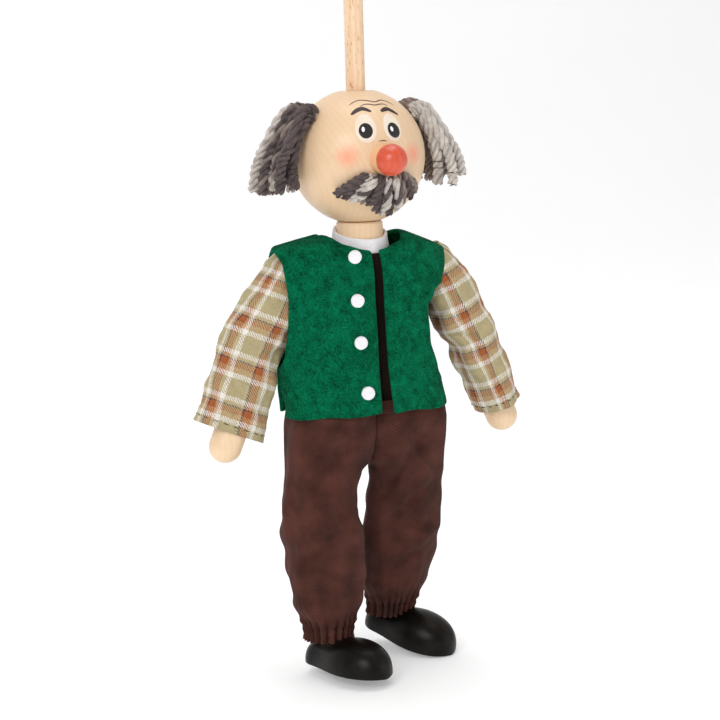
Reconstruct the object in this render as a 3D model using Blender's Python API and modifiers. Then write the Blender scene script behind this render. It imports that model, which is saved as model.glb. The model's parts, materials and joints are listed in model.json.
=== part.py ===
"""Craft stick puppet: a jointed wooden figure that hangs and turns on a wooden stick.

The stick is glued through the head ball and ends in a cross pin inside the torso, so the torso hangs on
that pin and turns under the head.  The arms hang on knotted cords, the elbows and knees are fork and
tongue joints on pins, and both thighs turn on one hip pin.  The figure faces -Y, its left is +X, and
+Z is up.  Heights in the constants count up from the soles; the origin is the top end of the stick.
"""

import math

import bmesh
import bpy
from mathutils import Matrix, Vector

MM = 0.001
SIDES = {"right": -1, "left": 1}

# Fits
GAP = 0.3 * MM  # between pieces that touch
GLUED_FIT = 0.15 * MM  # radial, round a glued dowel
RUNNING_FIT = 0.15 * MM  # radial, round a turning pin or stick
OVERRUN = 1.0 * MM  # how far a cutter runs past what it cuts

# Heights above the soles
KNEE_HEIGHT = 43.4 * MM
HIP_HEIGHT = 78.4 * MM
SHOULDER_HEIGHT = 125.4 * MM

# Stick, head and nose
STICK_RADIUS = 3.0 * MM
STICK_ABOVE_HEAD = 140.0 * MM
STICK_END_CHAMFER = 0.6 * MM
HEAD_RADIUS = 21.0 * MM
HEAD_TOP_FLAT_RADIUS = 5.6 * MM
HEAD_BASE_FLAT_RADIUS = 7.0 * MM
NOSE_RADIUS = 4.9 * MM
NOSE_STAND_OFF = 4.9 * MM  # from the ball's surface to the centre of the nose's round front
NOSE_PEG_RADIUS = 2.0 * MM
NOSE_PEG_LENGTH = 11.0 * MM

# Neck and its turning joint
NECK_RADIUS = 7.5 * MM
NECK_VISIBLE_LENGTH = 9.5 * MM
NECK_SPIGOT_RADIUS = 6.6 * MM
NECK_SPIGOT_LENGTH = 7.0 * MM
CROSS_PIN_RADIUS = 0.8 * MM
CROSS_PIN_LENGTH = 11.0 * MM
STICK_BELOW_CROSS_PIN = 3.0 * MM
CAVITY_BELOW_STICK = 2.0 * MM

# Torso and pelvis
TORSO_HALF_WIDTH = 17.0 * MM
TORSO_HALF_DEPTH = 9.0 * MM
TORSO_EDGE_ROUNDING = 3.0 * MM
PELVIS_HALF_WIDTH = 5.0 * MM
PELVIS_HALF_DEPTH = 5.0 * MM
PELVIS_BELOW_HIP = 6.0 * MM
PELVIS_DOWEL_RADIUS = 2.5 * MM
PELVIS_DOWEL_REACH = 9.0 * MM  # into the torso

# Shoulders and arms
SHOULDER_SPREAD = 25.5 * MM  # from the middle to each shoulder's pivot
CORD_RADIUS = 1.0 * MM
CORD_GLUED_LENGTH = 7.0 * MM
KNOT_RADIUS = 1.7 * MM
ARM_HANG_ANGLE = {"right": math.radians(23.0), "left": math.radians(24.5)}
UPPER_ARM_RADIUS = 4.0 * MM
UPPER_ARM_LENGTH = 29.0 * MM  # shoulder pivot to elbow pivot
FOREARM_RADIUS = 4.6 * MM
HAND_RADIUS = 5.2 * MM
FOREARM_LENGTH = 31.5 * MM  # elbow pivot to fingertip
HAND_LENGTH = 15.0 * MM

# Legs
LEG_SPREAD = 14.8 * MM
THIGH_RADIUS = 5.0 * MM
SHIN_RADIUS = 4.5 * MM
LEG_SWING = {"right": 0.0, "left": math.radians(14.5)}  # backwards from plumb at rest
HIP_PIN_RADIUS = 1.0 * MM
SPACER_RADIUS = 2.6 * MM

# Shoes
SHOE_LENGTH = 34.0 * MM
SHOE_HALF_WIDTH = 8.8 * MM
SHOE_HEIGHT = 10.5 * MM
SHOE_TURN = {"right": math.radians(22.0), "left": math.radians(32.0)}  # towards the figure's left
ANKLE_TO_HEEL = 8.5 * MM
ANKLE_PEG_RADIUS = 3.0 * MM
ANKLE_PEG_DEPTH = 5.0 * MM

# Fork and tongue joints
JOINT_PIN_RADIUS = 0.75 * MM
TONGUE_HALF_THICKNESS = 1.3 * MM
FORK_SIDE_CLEARANCE = 0.3 * MM

# Clothes
FELT_THICKNESS = 1.5 * MM
CLOTH_THICKNESS = 0.8 * MM
VEST_HEM_HEIGHT = 82.4 * MM
VEST_HEM_HALF_WIDTH = 27.5 * MM
VEST_HALF_DEPTH = 14.5 * MM
VEST_OPENING = 2.4 * MM
VEST_SQUARENESS = 2.6  # power of the vest's oval outline
SHOULDER_SEAM_RISE = 12.6 * MM  # neck end of the shoulder seam above the shoulder pivot
BUTTON_RADIUS = 2.6 * MM
BUTTON_THICKNESS = 1.0 * MM
BUTTON_INSET = 6.0 * MM  # from the vest's middle to each button
BUTTON_HEIGHTS = (89.9 * MM, 104.4 * MM, 117.9 * MM, 130.4 * MM)
COLLAR_THICKNESS = 1.1 * MM
COLLAR_HEIGHT = 5.0 * MM
COLLAR_FLARE = 0.6 * MM
COLLAR_TILT = math.radians(10.0)
SLEEVE_SHOULDER_HALF_WIDTH = 5.5 * MM
SLEEVE_ELBOW_HALF_WIDTH = 9.3 * MM
SLEEVE_CUFF_HALF_WIDTH = 10.8 * MM
SLEEVE_HALF_DEPTH = 6.2 * MM
HAND_BELOW_CUFF = 10.5 * MM
TROUSER_HALF_WIDTH = 12.4 * MM
TROUSER_HALF_DEPTH = 9.5 * MM
TROUSER_HEM_HEIGHT = 10.0 * MM
TROUSER_HEM_RADIUS = 7.6 * MM
ELASTIC_RADIUS = 0.5 * MM
ELASTIC_ABOVE_HEM = 3.0 * MM

# Hair
TUFT_RADII = Vector((8.5, 12.5, 15.0)) * MM
TUFT_OUTWARD = 4.5 * MM  # tuft's middle beyond the ball's side
MOUSTACHE_RADII = Vector((13.0, 5.0, 7.0)) * MM
MOUSTACHE_DROP = 10.5 * MM  # moustache's middle below the nose

# Facets
ROUND = 24
SMALL_ROUND = 12

# Worked out from the sizes above
HIP_TO_TORSO = THIGH_RADIUS + 2.0 * MM
TORSO_BASE = HIP_HEIGHT + HIP_TO_TORSO
TORSO_TOP = SHOULDER_HEIGHT + 6.5 * MM
WAIST_TOP = TORSO_BASE + 7.0 * MM
NECK_TOP = TORSO_TOP + NECK_VISIBLE_LENGTH
SPIGOT_END = TORSO_TOP - NECK_SPIGOT_LENGTH
CROSS_PIN_HEIGHT = SPIGOT_END - GAP - CROSS_PIN_RADIUS
STICK_FOOT = CROSS_PIN_HEIGHT - STICK_BELOW_CROSS_PIN
CAVITY_FLOOR = STICK_FOOT - CAVITY_BELOW_STICK
HEAD_BASE = NECK_TOP + GAP
HEAD_CENTRE = HEAD_BASE + math.sqrt(HEAD_RADIUS**2 - HEAD_BASE_FLAT_RADIUS**2)
HEAD_TOP = HEAD_CENTRE + math.sqrt(HEAD_RADIUS**2 - HEAD_TOP_FLAT_RADIUS**2)
STICK_TOP = HEAD_TOP + STICK_ABOVE_HEAD
NOSE_FRONT = -(HEAD_RADIUS + NOSE_STAND_OFF)

COLOURS = {
    "pale_wood": (0.80, 0.60, 0.40, 0.55, 0.0),
    "red_paint": (0.72, 0.10, 0.05, 0.35, 0.0),
    "black_paint": (0.015, 0.015, 0.015, 0.35, 0.0),
    "steel": (0.55, 0.55, 0.56, 0.35, 1.0),
    "cord": (0.70, 0.66, 0.58, 0.9, 0.0),
    "green_felt": (0.0, 0.17, 0.08, 0.95, 0.0),
    "white_felt": (0.78, 0.77, 0.80, 0.95, 0.0),
    "plaid_flannel": (0.45, 0.36, 0.22, 0.95, 0.0),
    "brown_twill": (0.07, 0.03, 0.022, 0.9, 0.0),
    "grey_yarn": (0.30, 0.28, 0.27, 0.95, 0.0),
    "elastic": (0.06, 0.03, 0.025, 0.8, 0.0),
}


def clear_scene():
    """Empties the scene that the script starts in."""
    for obj in list(bpy.data.objects):
        bpy.data.objects.remove(obj)


def collection(name, hidden=False):
    made = bpy.data.collections.new(name)
    bpy.context.scene.collection.children.link(made)
    made.hide_render = hidden
    return made


def material(slot):
    """The Principled material of one finish, made once."""
    found = bpy.data.materials.get(slot)
    if found:
        return found
    red, green, blue, roughness, metallic = COLOURS[slot]
    made = bpy.data.materials.new(slot)
    made.use_nodes = True
    shader = made.node_tree.nodes["Principled BSDF"]
    shader.inputs["Base Color"].default_value = (red, green, blue, 1.0)
    shader.inputs["Roughness"].default_value = roughness
    shader.inputs["Metallic"].default_value = metallic
    return made


def frame(name, location=(0, 0, 0), rotation=(0, 0, 0), parent=None):
    """An empty that holds the pieces of one moving part, at its pivot."""
    made = bpy.data.objects.new(name, None)
    made.location = location
    made.rotation_euler = rotation
    made.parent = parent
    PARTS.objects.link(made)
    return made


def part(name, mesh, slot, parent, location=(0, 0, 0), rotation=(0, 0, 0), smooth=True):
    """A mesh as one named piece in the puppet's collection."""
    if smooth:
        mesh.shade_smooth()
        mesh.set_sharp_from_angle(angle=math.radians(35))
    mesh.materials.append(material(slot))
    made = bpy.data.objects.new(name, mesh)
    made.location = location
    made.rotation_euler = rotation
    made.parent = parent
    PARTS.objects.link(made)
    return made


def cutter(mesh, parent, location=(0, 0, 0), rotation=(0, 0, 0)):
    """A helper that is only cut with or joined on."""
    made = bpy.data.objects.new("cutter", mesh)
    made.location = location
    made.rotation_euler = rotation
    made.parent = parent
    made.hide_render = True
    made.display_type = "WIRE"
    CUTTERS.objects.link(made)
    return made


def boolean(obj, other, operation="DIFFERENCE"):
    modifier = obj.modifiers.new(operation.title(), "BOOLEAN")
    modifier.operation = operation
    modifier.object = other
    return obj


def mesh_from(bm, name):
    bmesh.ops.recalc_face_normals(bm, faces=bm.faces)
    mesh = bpy.data.meshes.new(name)
    bm.to_mesh(mesh)
    bm.free()
    return mesh


def turn_onto(axis):
    """The matrix that lays something made along Z along the named axis."""
    turns = {
        "X": Matrix.Rotation(math.pi / 2, 4, "Y"),
        "Y": Matrix.Rotation(math.pi / 2, 4, "X"),
        "Z": Matrix.Identity(4),
    }
    return turns[axis]


def cylinder(radius, low, high, axis="Z", segments=ROUND, across=(0, 0)):
    """A solid cylinder from low to high along an axis; across places it over the other two axes."""
    bm = bmesh.new()
    bmesh.ops.create_cone(
        bm, cap_ends=True, segments=segments, radius1=radius, radius2=radius, depth=high - low
    )
    middle = (low + high) / 2
    places = {
        "X": (middle, across[0], across[1]),
        "Y": (across[0], middle, across[1]),
        "Z": (across[0], across[1], middle),
    }
    bmesh.ops.transform(
        bm, matrix=Matrix.Translation(places[axis]) @ turn_onto(axis), verts=bm.verts
    )
    return mesh_from(bm, "cylinder")


def block(low, high):
    """A box between two corners."""
    low, high = Vector(low), Vector(high)
    bm = bmesh.new()
    size = Matrix.Diagonal((*(high - low), 1.0))
    bmesh.ops.create_cube(bm, size=1.0, matrix=Matrix.Translation((low + high) / 2) @ size)
    return mesh_from(bm, "block")


def torus(radius, wire_radius):
    """A ring of round wire or cord, lying level."""
    bpy.ops.mesh.primitive_torus_add(
        major_segments=20, minor_segments=6, major_radius=radius, minor_radius=wire_radius
    )
    made = bpy.context.object
    mesh = made.data
    bpy.data.objects.remove(made)
    return mesh


def ball(radii, centre=(0, 0, 0), segments=ROUND):
    """A sphere, or an ellipsoid from three radii."""
    radii = Vector((radii,) * 3) if isinstance(radii, float) else radii
    bm = bmesh.new()
    place = Matrix.Translation(centre) @ Matrix.Diagonal((*radii, 1.0))
    bmesh.ops.create_uvsphere(
        bm, u_segments=segments, v_segments=segments // 2, radius=1.0, matrix=place
    )
    return mesh_from(bm, "ball")


def turned_part(name, profile, slot, parent, segments=ROUND, **place):
    """A piece turned round Z from (radius, height) points that run top down from the axis to the axis."""
    bm = bmesh.new()
    points = [bm.verts.new((radius, 0, height)) for radius, height in profile]
    for pair in zip(points, points[1:]):
        bm.edges.new(pair)
    mesh = bpy.data.meshes.new(name)
    bm.to_mesh(mesh)
    bm.free()
    made = part(name, mesh, slot, parent, smooth=False, **place)
    screw = made.modifiers.new("Turning", "SCREW")
    screw.steps = segments
    screw.render_steps = segments
    screw.use_merge_vertices = True
    screw.merge_threshold = 1e-6
    return made


def arc(radius, centre_height, start, end, steps):
    """Profile points on a circle about the axis, from one angle above the level to another."""
    angles = [start + (end - start) * step / steps for step in range(steps + 1)]
    return [
        (max(radius * math.cos(angle), 0.0), centre_height + radius * math.sin(angle))
        for angle in angles
    ]


def loft(rings, closed=True):
    """An open surface through rings of points, listed from the lowest up so that it faces out."""
    bm = bmesh.new()
    rows = [[bm.verts.new(point) for point in ring] for ring in rings]
    count = len(rows[0])
    for low, high in zip(rows, rows[1:]):
        for index in range(count if closed else count - 1):
            after = (index + 1) % count
            bm.faces.new((low[index], low[after], high[after], high[index]))
    mesh = bpy.data.meshes.new("loft")
    bm.to_mesh(mesh)
    bm.free()
    return mesh


def cloth(name, rings, thickness, slot, parent, closed=True, **place):
    """A piece of cloth: a loft through its outer rings with its wall inside them."""
    made = part(name, loft(rings, closed), slot, parent, **place)
    wall = made.modifiers.new("Wall", "SOLIDIFY")
    wall.thickness = thickness
    wall.offset = -1.0
    wall.use_even_offset = True
    return made


def oval(half_width, half_depth, power, angle):
    """A point on a superellipse; angle 0 is the front and a quarter turn is the figure's left."""
    sine, cosine = math.sin(angle), math.cos(angle)
    x = half_width * math.copysign(abs(sine) ** (2 / power), sine)
    y = -half_depth * math.copysign(abs(cosine) ** (2 / power), cosine)
    return x, y


def oval_ring(half_width, half_depth, height, power=2.0, centre_x=0.0, slant=0.0, count=ROUND):
    """A level or slanting oval ring; slant is the rise from the middle to the back."""
    ring = []
    for step in range(count):
        x, y = oval(half_width, half_depth, power, math.tau * step / count)
        ring.append((centre_x + x, y, height + slant * y / half_depth))
    return ring


def build_head(figure):
    """The stick, the ball that it is glued through, the nose and the cross pin below."""
    stick_profile = [
        (0.0, STICK_TOP),
        (STICK_RADIUS - STICK_END_CHAMFER, STICK_TOP),
        (STICK_RADIUS, STICK_TOP - STICK_END_CHAMFER),
        (STICK_RADIUS, STICK_FOOT),
        (0.0, STICK_FOOT),
    ]
    stick = turned_part("guide_stick", stick_profile, "pale_wood", figure)
    pin_bore = cylinder(
        CROSS_PIN_RADIUS + GLUED_FIT,
        -STICK_RADIUS - OVERRUN,
        STICK_RADIUS + OVERRUN,
        "X",
        SMALL_ROUND,
        (0, CROSS_PIN_HEIGHT),
    )
    boolean(stick, cutter(pin_bore, figure))
    cross_pin = cylinder(
        CROSS_PIN_RADIUS,
        -CROSS_PIN_LENGTH / 2,
        CROSS_PIN_LENGTH / 2,
        "X",
        SMALL_ROUND,
        (0, CROSS_PIN_HEIGHT),
    )
    part("stick_cross_pin", cross_pin, "steel", figure)

    top = math.acos(HEAD_TOP_FLAT_RADIUS / HEAD_RADIUS)
    base = -math.acos(HEAD_BASE_FLAT_RADIUS / HEAD_RADIUS)
    skull = arc(HEAD_RADIUS, HEAD_CENTRE, top, base, 14)
    skull = [(0.0, HEAD_TOP), *skull, (0.0, HEAD_BASE)]
    head = turned_part("head_ball", skull, "pale_wood", figure, 32)
    stick_bore = cylinder(
        STICK_RADIUS + GLUED_FIT, HEAD_BASE - OVERRUN, HEAD_TOP + OVERRUN, "Z"
    )
    boolean(head, cutter(stick_bore, figure))

    peg_front = NOSE_FRONT + NOSE_RADIUS / 3
    peg_back = peg_front + NOSE_PEG_LENGTH
    at_nose = (0, HEAD_CENTRE)
    peg_bore = cylinder(
        NOSE_PEG_RADIUS + GLUED_FIT,
        NOSE_FRONT - GAP + NOSE_RADIUS / 3,
        peg_back + GAP,
        "Y",
        SMALL_ROUND,
        at_nose,
    )
    peg_bore = cutter(peg_bore, figure)
    boolean(head, peg_bore)
    nose_profile = [
        *arc(NOSE_RADIUS, 0.0, math.pi / 2, 0.0, 6),
        (NOSE_RADIUS, -NOSE_STAND_OFF - NOSE_RADIUS),
        (0.0, -NOSE_STAND_OFF - NOSE_RADIUS),
    ]
    nose = turned_part(
        "nose_bead",
        nose_profile,
        "red_paint",
        figure,
        location=(0, NOSE_FRONT, HEAD_CENTRE),
        rotation=(math.pi / 2, 0, 0),
    )
    clearance_ball = cutter(ball(HEAD_RADIUS + GAP, segments=32), figure, (0, 0, HEAD_CENTRE))
    boolean(nose, clearance_ball)
    boolean(nose, peg_bore)
    peg = cylinder(NOSE_PEG_RADIUS, peg_front, peg_back, "Y", SMALL_ROUND, at_nose)
    part("nose_peg", peg, "pale_wood", figure)
    return clearance_ball


def build_hair(figure, clearance_ball):
    """Plain solids of the space that each yarn tuft and the moustache fill."""
    for side, sign in SIDES.items():
        centre = (sign * (HEAD_RADIUS + TUFT_OUTWARD), 0, HEAD_CENTRE + 1.0 * MM)
        tuft = part(f"hair_tuft_{side}", ball(TUFT_RADII, segments=16), "grey_yarn", figure, centre)
        boolean(tuft, clearance_ball)
    centre = (0, -HEAD_RADIUS + 1.5 * MM, HEAD_CENTRE - MOUSTACHE_DROP)
    moustache = part(
        "moustache", ball(MOUSTACHE_RADII, segments=16), "grey_yarn", figure, centre
    )
    boolean(moustache, clearance_ball)
    nose_room = cylinder(
        NOSE_RADIUS + GAP,
        NOSE_FRONT - 2 * NOSE_RADIUS,
        0.0,
        "Y",
        ROUND,
        (0, HEAD_CENTRE),
    )
    boolean(moustache, cutter(nose_room, figure))


def build_torso(figure):
    """The neck, the torso block with its cavity and bores, and the pelvis with the hip pin."""
    neck_profile = [
        (0.0, NECK_TOP),
        (NECK_RADIUS - 0.4 * MM, NECK_TOP),
        (NECK_RADIUS, NECK_TOP - 0.4 * MM),
        (NECK_RADIUS, TORSO_TOP + GAP),
        (NECK_SPIGOT_RADIUS, TORSO_TOP + GAP),
        (NECK_SPIGOT_RADIUS, SPIGOT_END),
        (0.0, SPIGOT_END),
    ]
    neck = turned_part("neck_bush", neck_profile, "pale_wood", figure)
    stick_room = cylinder(
        STICK_RADIUS + RUNNING_FIT, SPIGOT_END - OVERRUN, NECK_TOP + OVERRUN, "Z"
    )
    boolean(neck, cutter(stick_room, figure))

    torso = part(
        "torso_block",
        block(
            (-TORSO_HALF_WIDTH, -TORSO_HALF_DEPTH, TORSO_BASE),
            (TORSO_HALF_WIDTH, TORSO_HALF_DEPTH, TORSO_TOP),
        ),
        "pale_wood",
        figure,
        smooth=False,
    )
    rounding = torso.modifiers.new("Rounding", "BEVEL")
    rounding.width = min(TORSO_EDGE_ROUNDING, TORSO_HALF_DEPTH / 3)
    rounding.segments = 2
    cavity = cylinder(
        NECK_SPIGOT_RADIUS + GLUED_FIT, CAVITY_FLOOR, TORSO_TOP + OVERRUN, "Z"
    )
    boolean(torso, cutter(cavity, figure))
    dowel_top = TORSO_BASE + PELVIS_DOWEL_REACH
    dowel_base = HIP_HEIGHT + HIP_PIN_RADIUS + 1.0 * MM
    dowel_bore = cutter(
        cylinder(
            PELVIS_DOWEL_RADIUS + GLUED_FIT,
            dowel_base - GAP,
            dowel_top + GAP,
            "Z",
            SMALL_ROUND,
        ),
        figure,
    )
    boolean(torso, dowel_bore)
    dowel = cylinder(PELVIS_DOWEL_RADIUS, dowel_base, dowel_top, "Z", SMALL_ROUND)
    part("pelvis_dowel", dowel, "pale_wood", figure)
    pelvis = part(
        "pelvis_block",
        block(
            (-PELVIS_HALF_WIDTH, -PELVIS_HALF_DEPTH, HIP_HEIGHT - PELVIS_BELOW_HIP),
            (PELVIS_HALF_WIDTH, PELVIS_HALF_DEPTH, TORSO_BASE - GAP),
        ),
        "pale_wood",
        figure,
        smooth=False,
    )
    boolean(pelvis, dowel_bore)
    pin_end = LEG_SPREAD + THIGH_RADIUS - 0.5 * MM
    pelvis_bore = cylinder(
        HIP_PIN_RADIUS + GLUED_FIT, -pin_end, pin_end, "X", SMALL_ROUND, (0, HIP_HEIGHT)
    )
    boolean(pelvis, cutter(pelvis_bore, figure))
    hip_pin = cylinder(HIP_PIN_RADIUS, -pin_end, pin_end, "X", SMALL_ROUND, (0, HIP_HEIGHT))
    part("hip_pin", hip_pin, "steel", figure)
    for side, sign in SIDES.items():
        inner = PELVIS_HALF_WIDTH + GAP
        outer = LEG_SPREAD - THIGH_RADIUS - GAP
        ends = sorted((sign * inner, sign * outer))
        spacer = part(
            f"hip_spacer_{side}",
            cylinder(SPACER_RADIUS, *ends, "X", SMALL_ROUND, (0, HIP_HEIGHT)),
            "pale_wood",
            figure,
        )
        bore = cylinder(
            HIP_PIN_RADIUS + RUNNING_FIT,
            ends[0] - OVERRUN,
            ends[1] + OVERRUN,
            "X",
            SMALL_ROUND,
            (0, HIP_HEIGHT),
        )
        boolean(spacer, cutter(bore, figure))

        cord_ends = sorted(
            (
                sign * (TORSO_HALF_WIDTH - CORD_GLUED_LENGTH),
                sign * (SHOULDER_SPREAD - KNOT_RADIUS - GAP),
            )
        )
        at_shoulder = (0, SHOULDER_HEIGHT)
        cord_bore = cylinder(
            CORD_RADIUS + GLUED_FIT,
            cord_ends[0] - GAP,
            cord_ends[1] + GAP,
            "X",
            SMALL_ROUND,
            at_shoulder,
        )
        boolean(torso, cutter(cord_bore, figure))
        cord = cylinder(CORD_RADIUS, *cord_ends, "X", SMALL_ROUND, at_shoulder)
        part(f"shoulder_cord_{side}", cord, "cord", figure)


def forked(obj, radius, pivot_drop, parent):
    """Cuts the slot and the pin's holes of a fork whose round end is centred on the pivot."""
    half_slot = TONGUE_HALF_THICKNESS + FORK_SIDE_CLEARANCE
    slot = block(
        (-half_slot, -radius - OVERRUN, -pivot_drop - radius - OVERRUN),
        (half_slot, radius + OVERRUN, -pivot_drop + radius + GAP),
    )
    boolean(obj, cutter(slot, parent))
    holes = cylinder(
        JOINT_PIN_RADIUS + RUNNING_FIT,
        -radius - OVERRUN,
        radius + OVERRUN,
        "X",
        SMALL_ROUND,
        (0, -pivot_drop),
    )
    return boolean(obj, cutter(holes, parent))


def tongued(obj, fork_radius, limb_top, parent):
    """Joins the flat tongue that runs up from the limb's top to the pivot, with its pin hole."""
    eye_radius = fork_radius - GAP
    eye = cylinder(
        eye_radius, -TONGUE_HALF_THICKNESS, TONGUE_HALF_THICKNESS, "X", 24
    )
    boolean(obj, cutter(eye, parent), "UNION")
    shank_half = eye_radius * 0.8
    shank = block(
        (-TONGUE_HALF_THICKNESS * 0.98, -shank_half, -limb_top - 3 * MM),
        (TONGUE_HALF_THICKNESS * 0.98, shank_half, 0),
    )
    boolean(obj, cutter(shank, parent), "UNION")
    hole = cylinder(
        JOINT_PIN_RADIUS + RUNNING_FIT,
        -TONGUE_HALF_THICKNESS - OVERRUN,
        TONGUE_HALF_THICKNESS + OVERRUN,
        "X",
        SMALL_ROUND,
    )
    return boolean(obj, cutter(hole, parent))


def joint_pin(name, radius, parent, pivot_drop):
    """The pin of a fork and tongue joint; it stays in the fork."""
    reach = radius * 0.93
    pin = cylinder(JOINT_PIN_RADIUS, -reach, reach, "X", SMALL_ROUND, (0, -pivot_drop))
    return part(name, pin, "steel", parent)


def sleeve_ring(half_width, drop, slant=0.0):
    return oval_ring(half_width, SLEEVE_HALF_DEPTH, -drop, 2.2, slant=slant, count=24)


def build_arm(figure, side, sign):
    """One arm on its knotted cord: upper arm, forearm with hand, elbow pin and the two sleeve tubes."""
    shoulder = frame(
        f"shoulder_{side}",
        (sign * SHOULDER_SPREAD, 0, SHOULDER_HEIGHT),
        (0, -sign * ARM_HANG_ANGLE[side], 0),
        figure,
    )
    elbow = frame(f"elbow_{side}", (0, 0, -UPPER_ARM_LENGTH), parent=shoulder)
    part(f"shoulder_knot_{side}", ball(KNOT_RADIUS, segments=12), "cord", shoulder)

    arm_top = KNOT_RADIUS + GAP
    fork_end = arc(UPPER_ARM_RADIUS, -UPPER_ARM_LENGTH, 0.0, -math.pi / 2, 6)
    upper_profile = [
        (0.0, -arm_top - GAP),
        (UPPER_ARM_RADIUS * 0.6, -arm_top - GAP),
        (UPPER_ARM_RADIUS, -arm_top - GAP - UPPER_ARM_RADIUS * 0.4),
        *fork_end,
    ]
    upper = turned_part(f"upper_arm_{side}", upper_profile, "pale_wood", shoulder)
    tail_end = -arm_top - CORD_GLUED_LENGTH
    tail_bore = cylinder(
        CORD_RADIUS + GLUED_FIT, tail_end - GAP, 0.0, "Z", SMALL_ROUND
    )
    boolean(upper, cutter(tail_bore, shoulder))
    forked(upper, UPPER_ARM_RADIUS, UPPER_ARM_LENGTH, shoulder)
    tail = cylinder(CORD_RADIUS, tail_end, -arm_top, "Z", SMALL_ROUND)
    part(f"arm_cord_{side}", tail, "cord", shoulder)
    joint_pin(f"elbow_pin_{side}", UPPER_ARM_RADIUS, shoulder, UPPER_ARM_LENGTH)

    limb_top = UPPER_ARM_RADIUS + GAP
    wrist = FOREARM_LENGTH - HAND_LENGTH
    fingertip = arc(HAND_RADIUS, -FOREARM_LENGTH + HAND_RADIUS, 0.0, -math.pi / 2, 7)
    forearm_profile = [
        (0.0, -limb_top),
        (FOREARM_RADIUS, -limb_top),
        (FOREARM_RADIUS, -wrist),
        (HAND_RADIUS, -wrist - 3 * MM),
        *fingertip,
    ]
    forearm = turned_part(f"forearm_{side}", forearm_profile, "pale_wood", elbow)
    tongued(forearm, UPPER_ARM_RADIUS, limb_top, elbow)

    inside_bend = SLEEVE_HALF_DEPTH + 0.8 * MM
    outside_bend = 2.6 * MM
    slant = (inside_bend - outside_bend) / 2
    upper_end = UPPER_ARM_LENGTH - (inside_bend + outside_bend) / 2
    rings = [
        sleeve_ring(SLEEVE_ELBOW_HALF_WIDTH, upper_end, -slant),
        sleeve_ring((SLEEVE_SHOULDER_HALF_WIDTH + SLEEVE_ELBOW_HALF_WIDTH) / 2, upper_end / 2),
        sleeve_ring(SLEEVE_SHOULDER_HALF_WIDTH, 0.0),
    ]
    cloth(f"sleeve_upper_{side}", rings, CLOTH_THICKNESS, "plaid_flannel", shoulder)
    top_front = inside_bend + 0.6 * MM
    top_back = -(outside_bend - 2 * GAP)
    cuff = FOREARM_LENGTH - HAND_BELOW_CUFF
    top_slant = (top_front - top_back) / 2
    rings = [
        sleeve_ring(SLEEVE_CUFF_HALF_WIDTH, cuff),
        sleeve_ring((SLEEVE_ELBOW_HALF_WIDTH + SLEEVE_CUFF_HALF_WIDTH) / 2, cuff * 0.6),
        sleeve_ring(SLEEVE_ELBOW_HALF_WIDTH, (top_front + top_back) / 2, top_slant),
    ]
    cloth(f"sleeve_lower_{side}", rings, CLOTH_THICKNESS, "plaid_flannel", elbow)


def shoe_section(share):
    """Half width and height of the shoe at a share of its length from the heel."""
    rise = min(max((share - 0.15) / 0.47, 0.0), 1.0)
    fullness = rise * rise * (3.0 - 2.0 * rise)
    end = max((share - 0.66) / 0.34, (0.18 - share) / 0.18, 0.0)
    ends = math.sqrt(1.0 - end**2.3)
    half_width = SHOE_HALF_WIDTH * ends * (0.70 + 0.30 * fullness)
    height = SHOE_HEIGHT * ends**0.8 * (0.74 + 0.26 * fullness)
    return half_width, height


def shoe_mesh(steps=12, around=12):
    """A clog shape: domed cross sections on a flat sole, wide at the toe, along -Y from the heel."""
    bm = bmesh.new()
    rows = []
    for step in range(1, steps):
        share = 0.5 - 0.5 * math.cos(math.pi * step / steps)
        half_width, height = shoe_section(share)
        y = ANKLE_TO_HEEL - SHOE_LENGTH * share
        lip = min(0.9 * MM, height * 0.2)
        ring = [bm.verts.new((half_width * 0.86, y, 0)), bm.verts.new((-half_width * 0.86, y, 0))]
        for place in range(around - 1):
            angle = math.pi * (1 - place / (around - 2))
            dome = lip + (height - lip) * math.sin(angle) ** 0.9
            ring.append(bm.verts.new((half_width * math.cos(angle), y, dome)))
        rows.append(ring)
    count = len(rows[0])
    for first, second in zip(rows, rows[1:]):
        for index in range(count):
            after = (index + 1) % count
            bm.faces.new((first[index], first[after], second[after], second[index]))
    bm.faces.new(rows[0])
    bm.faces.new(list(reversed(rows[-1])))
    return mesh_from(bm, "shoe")


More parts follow.
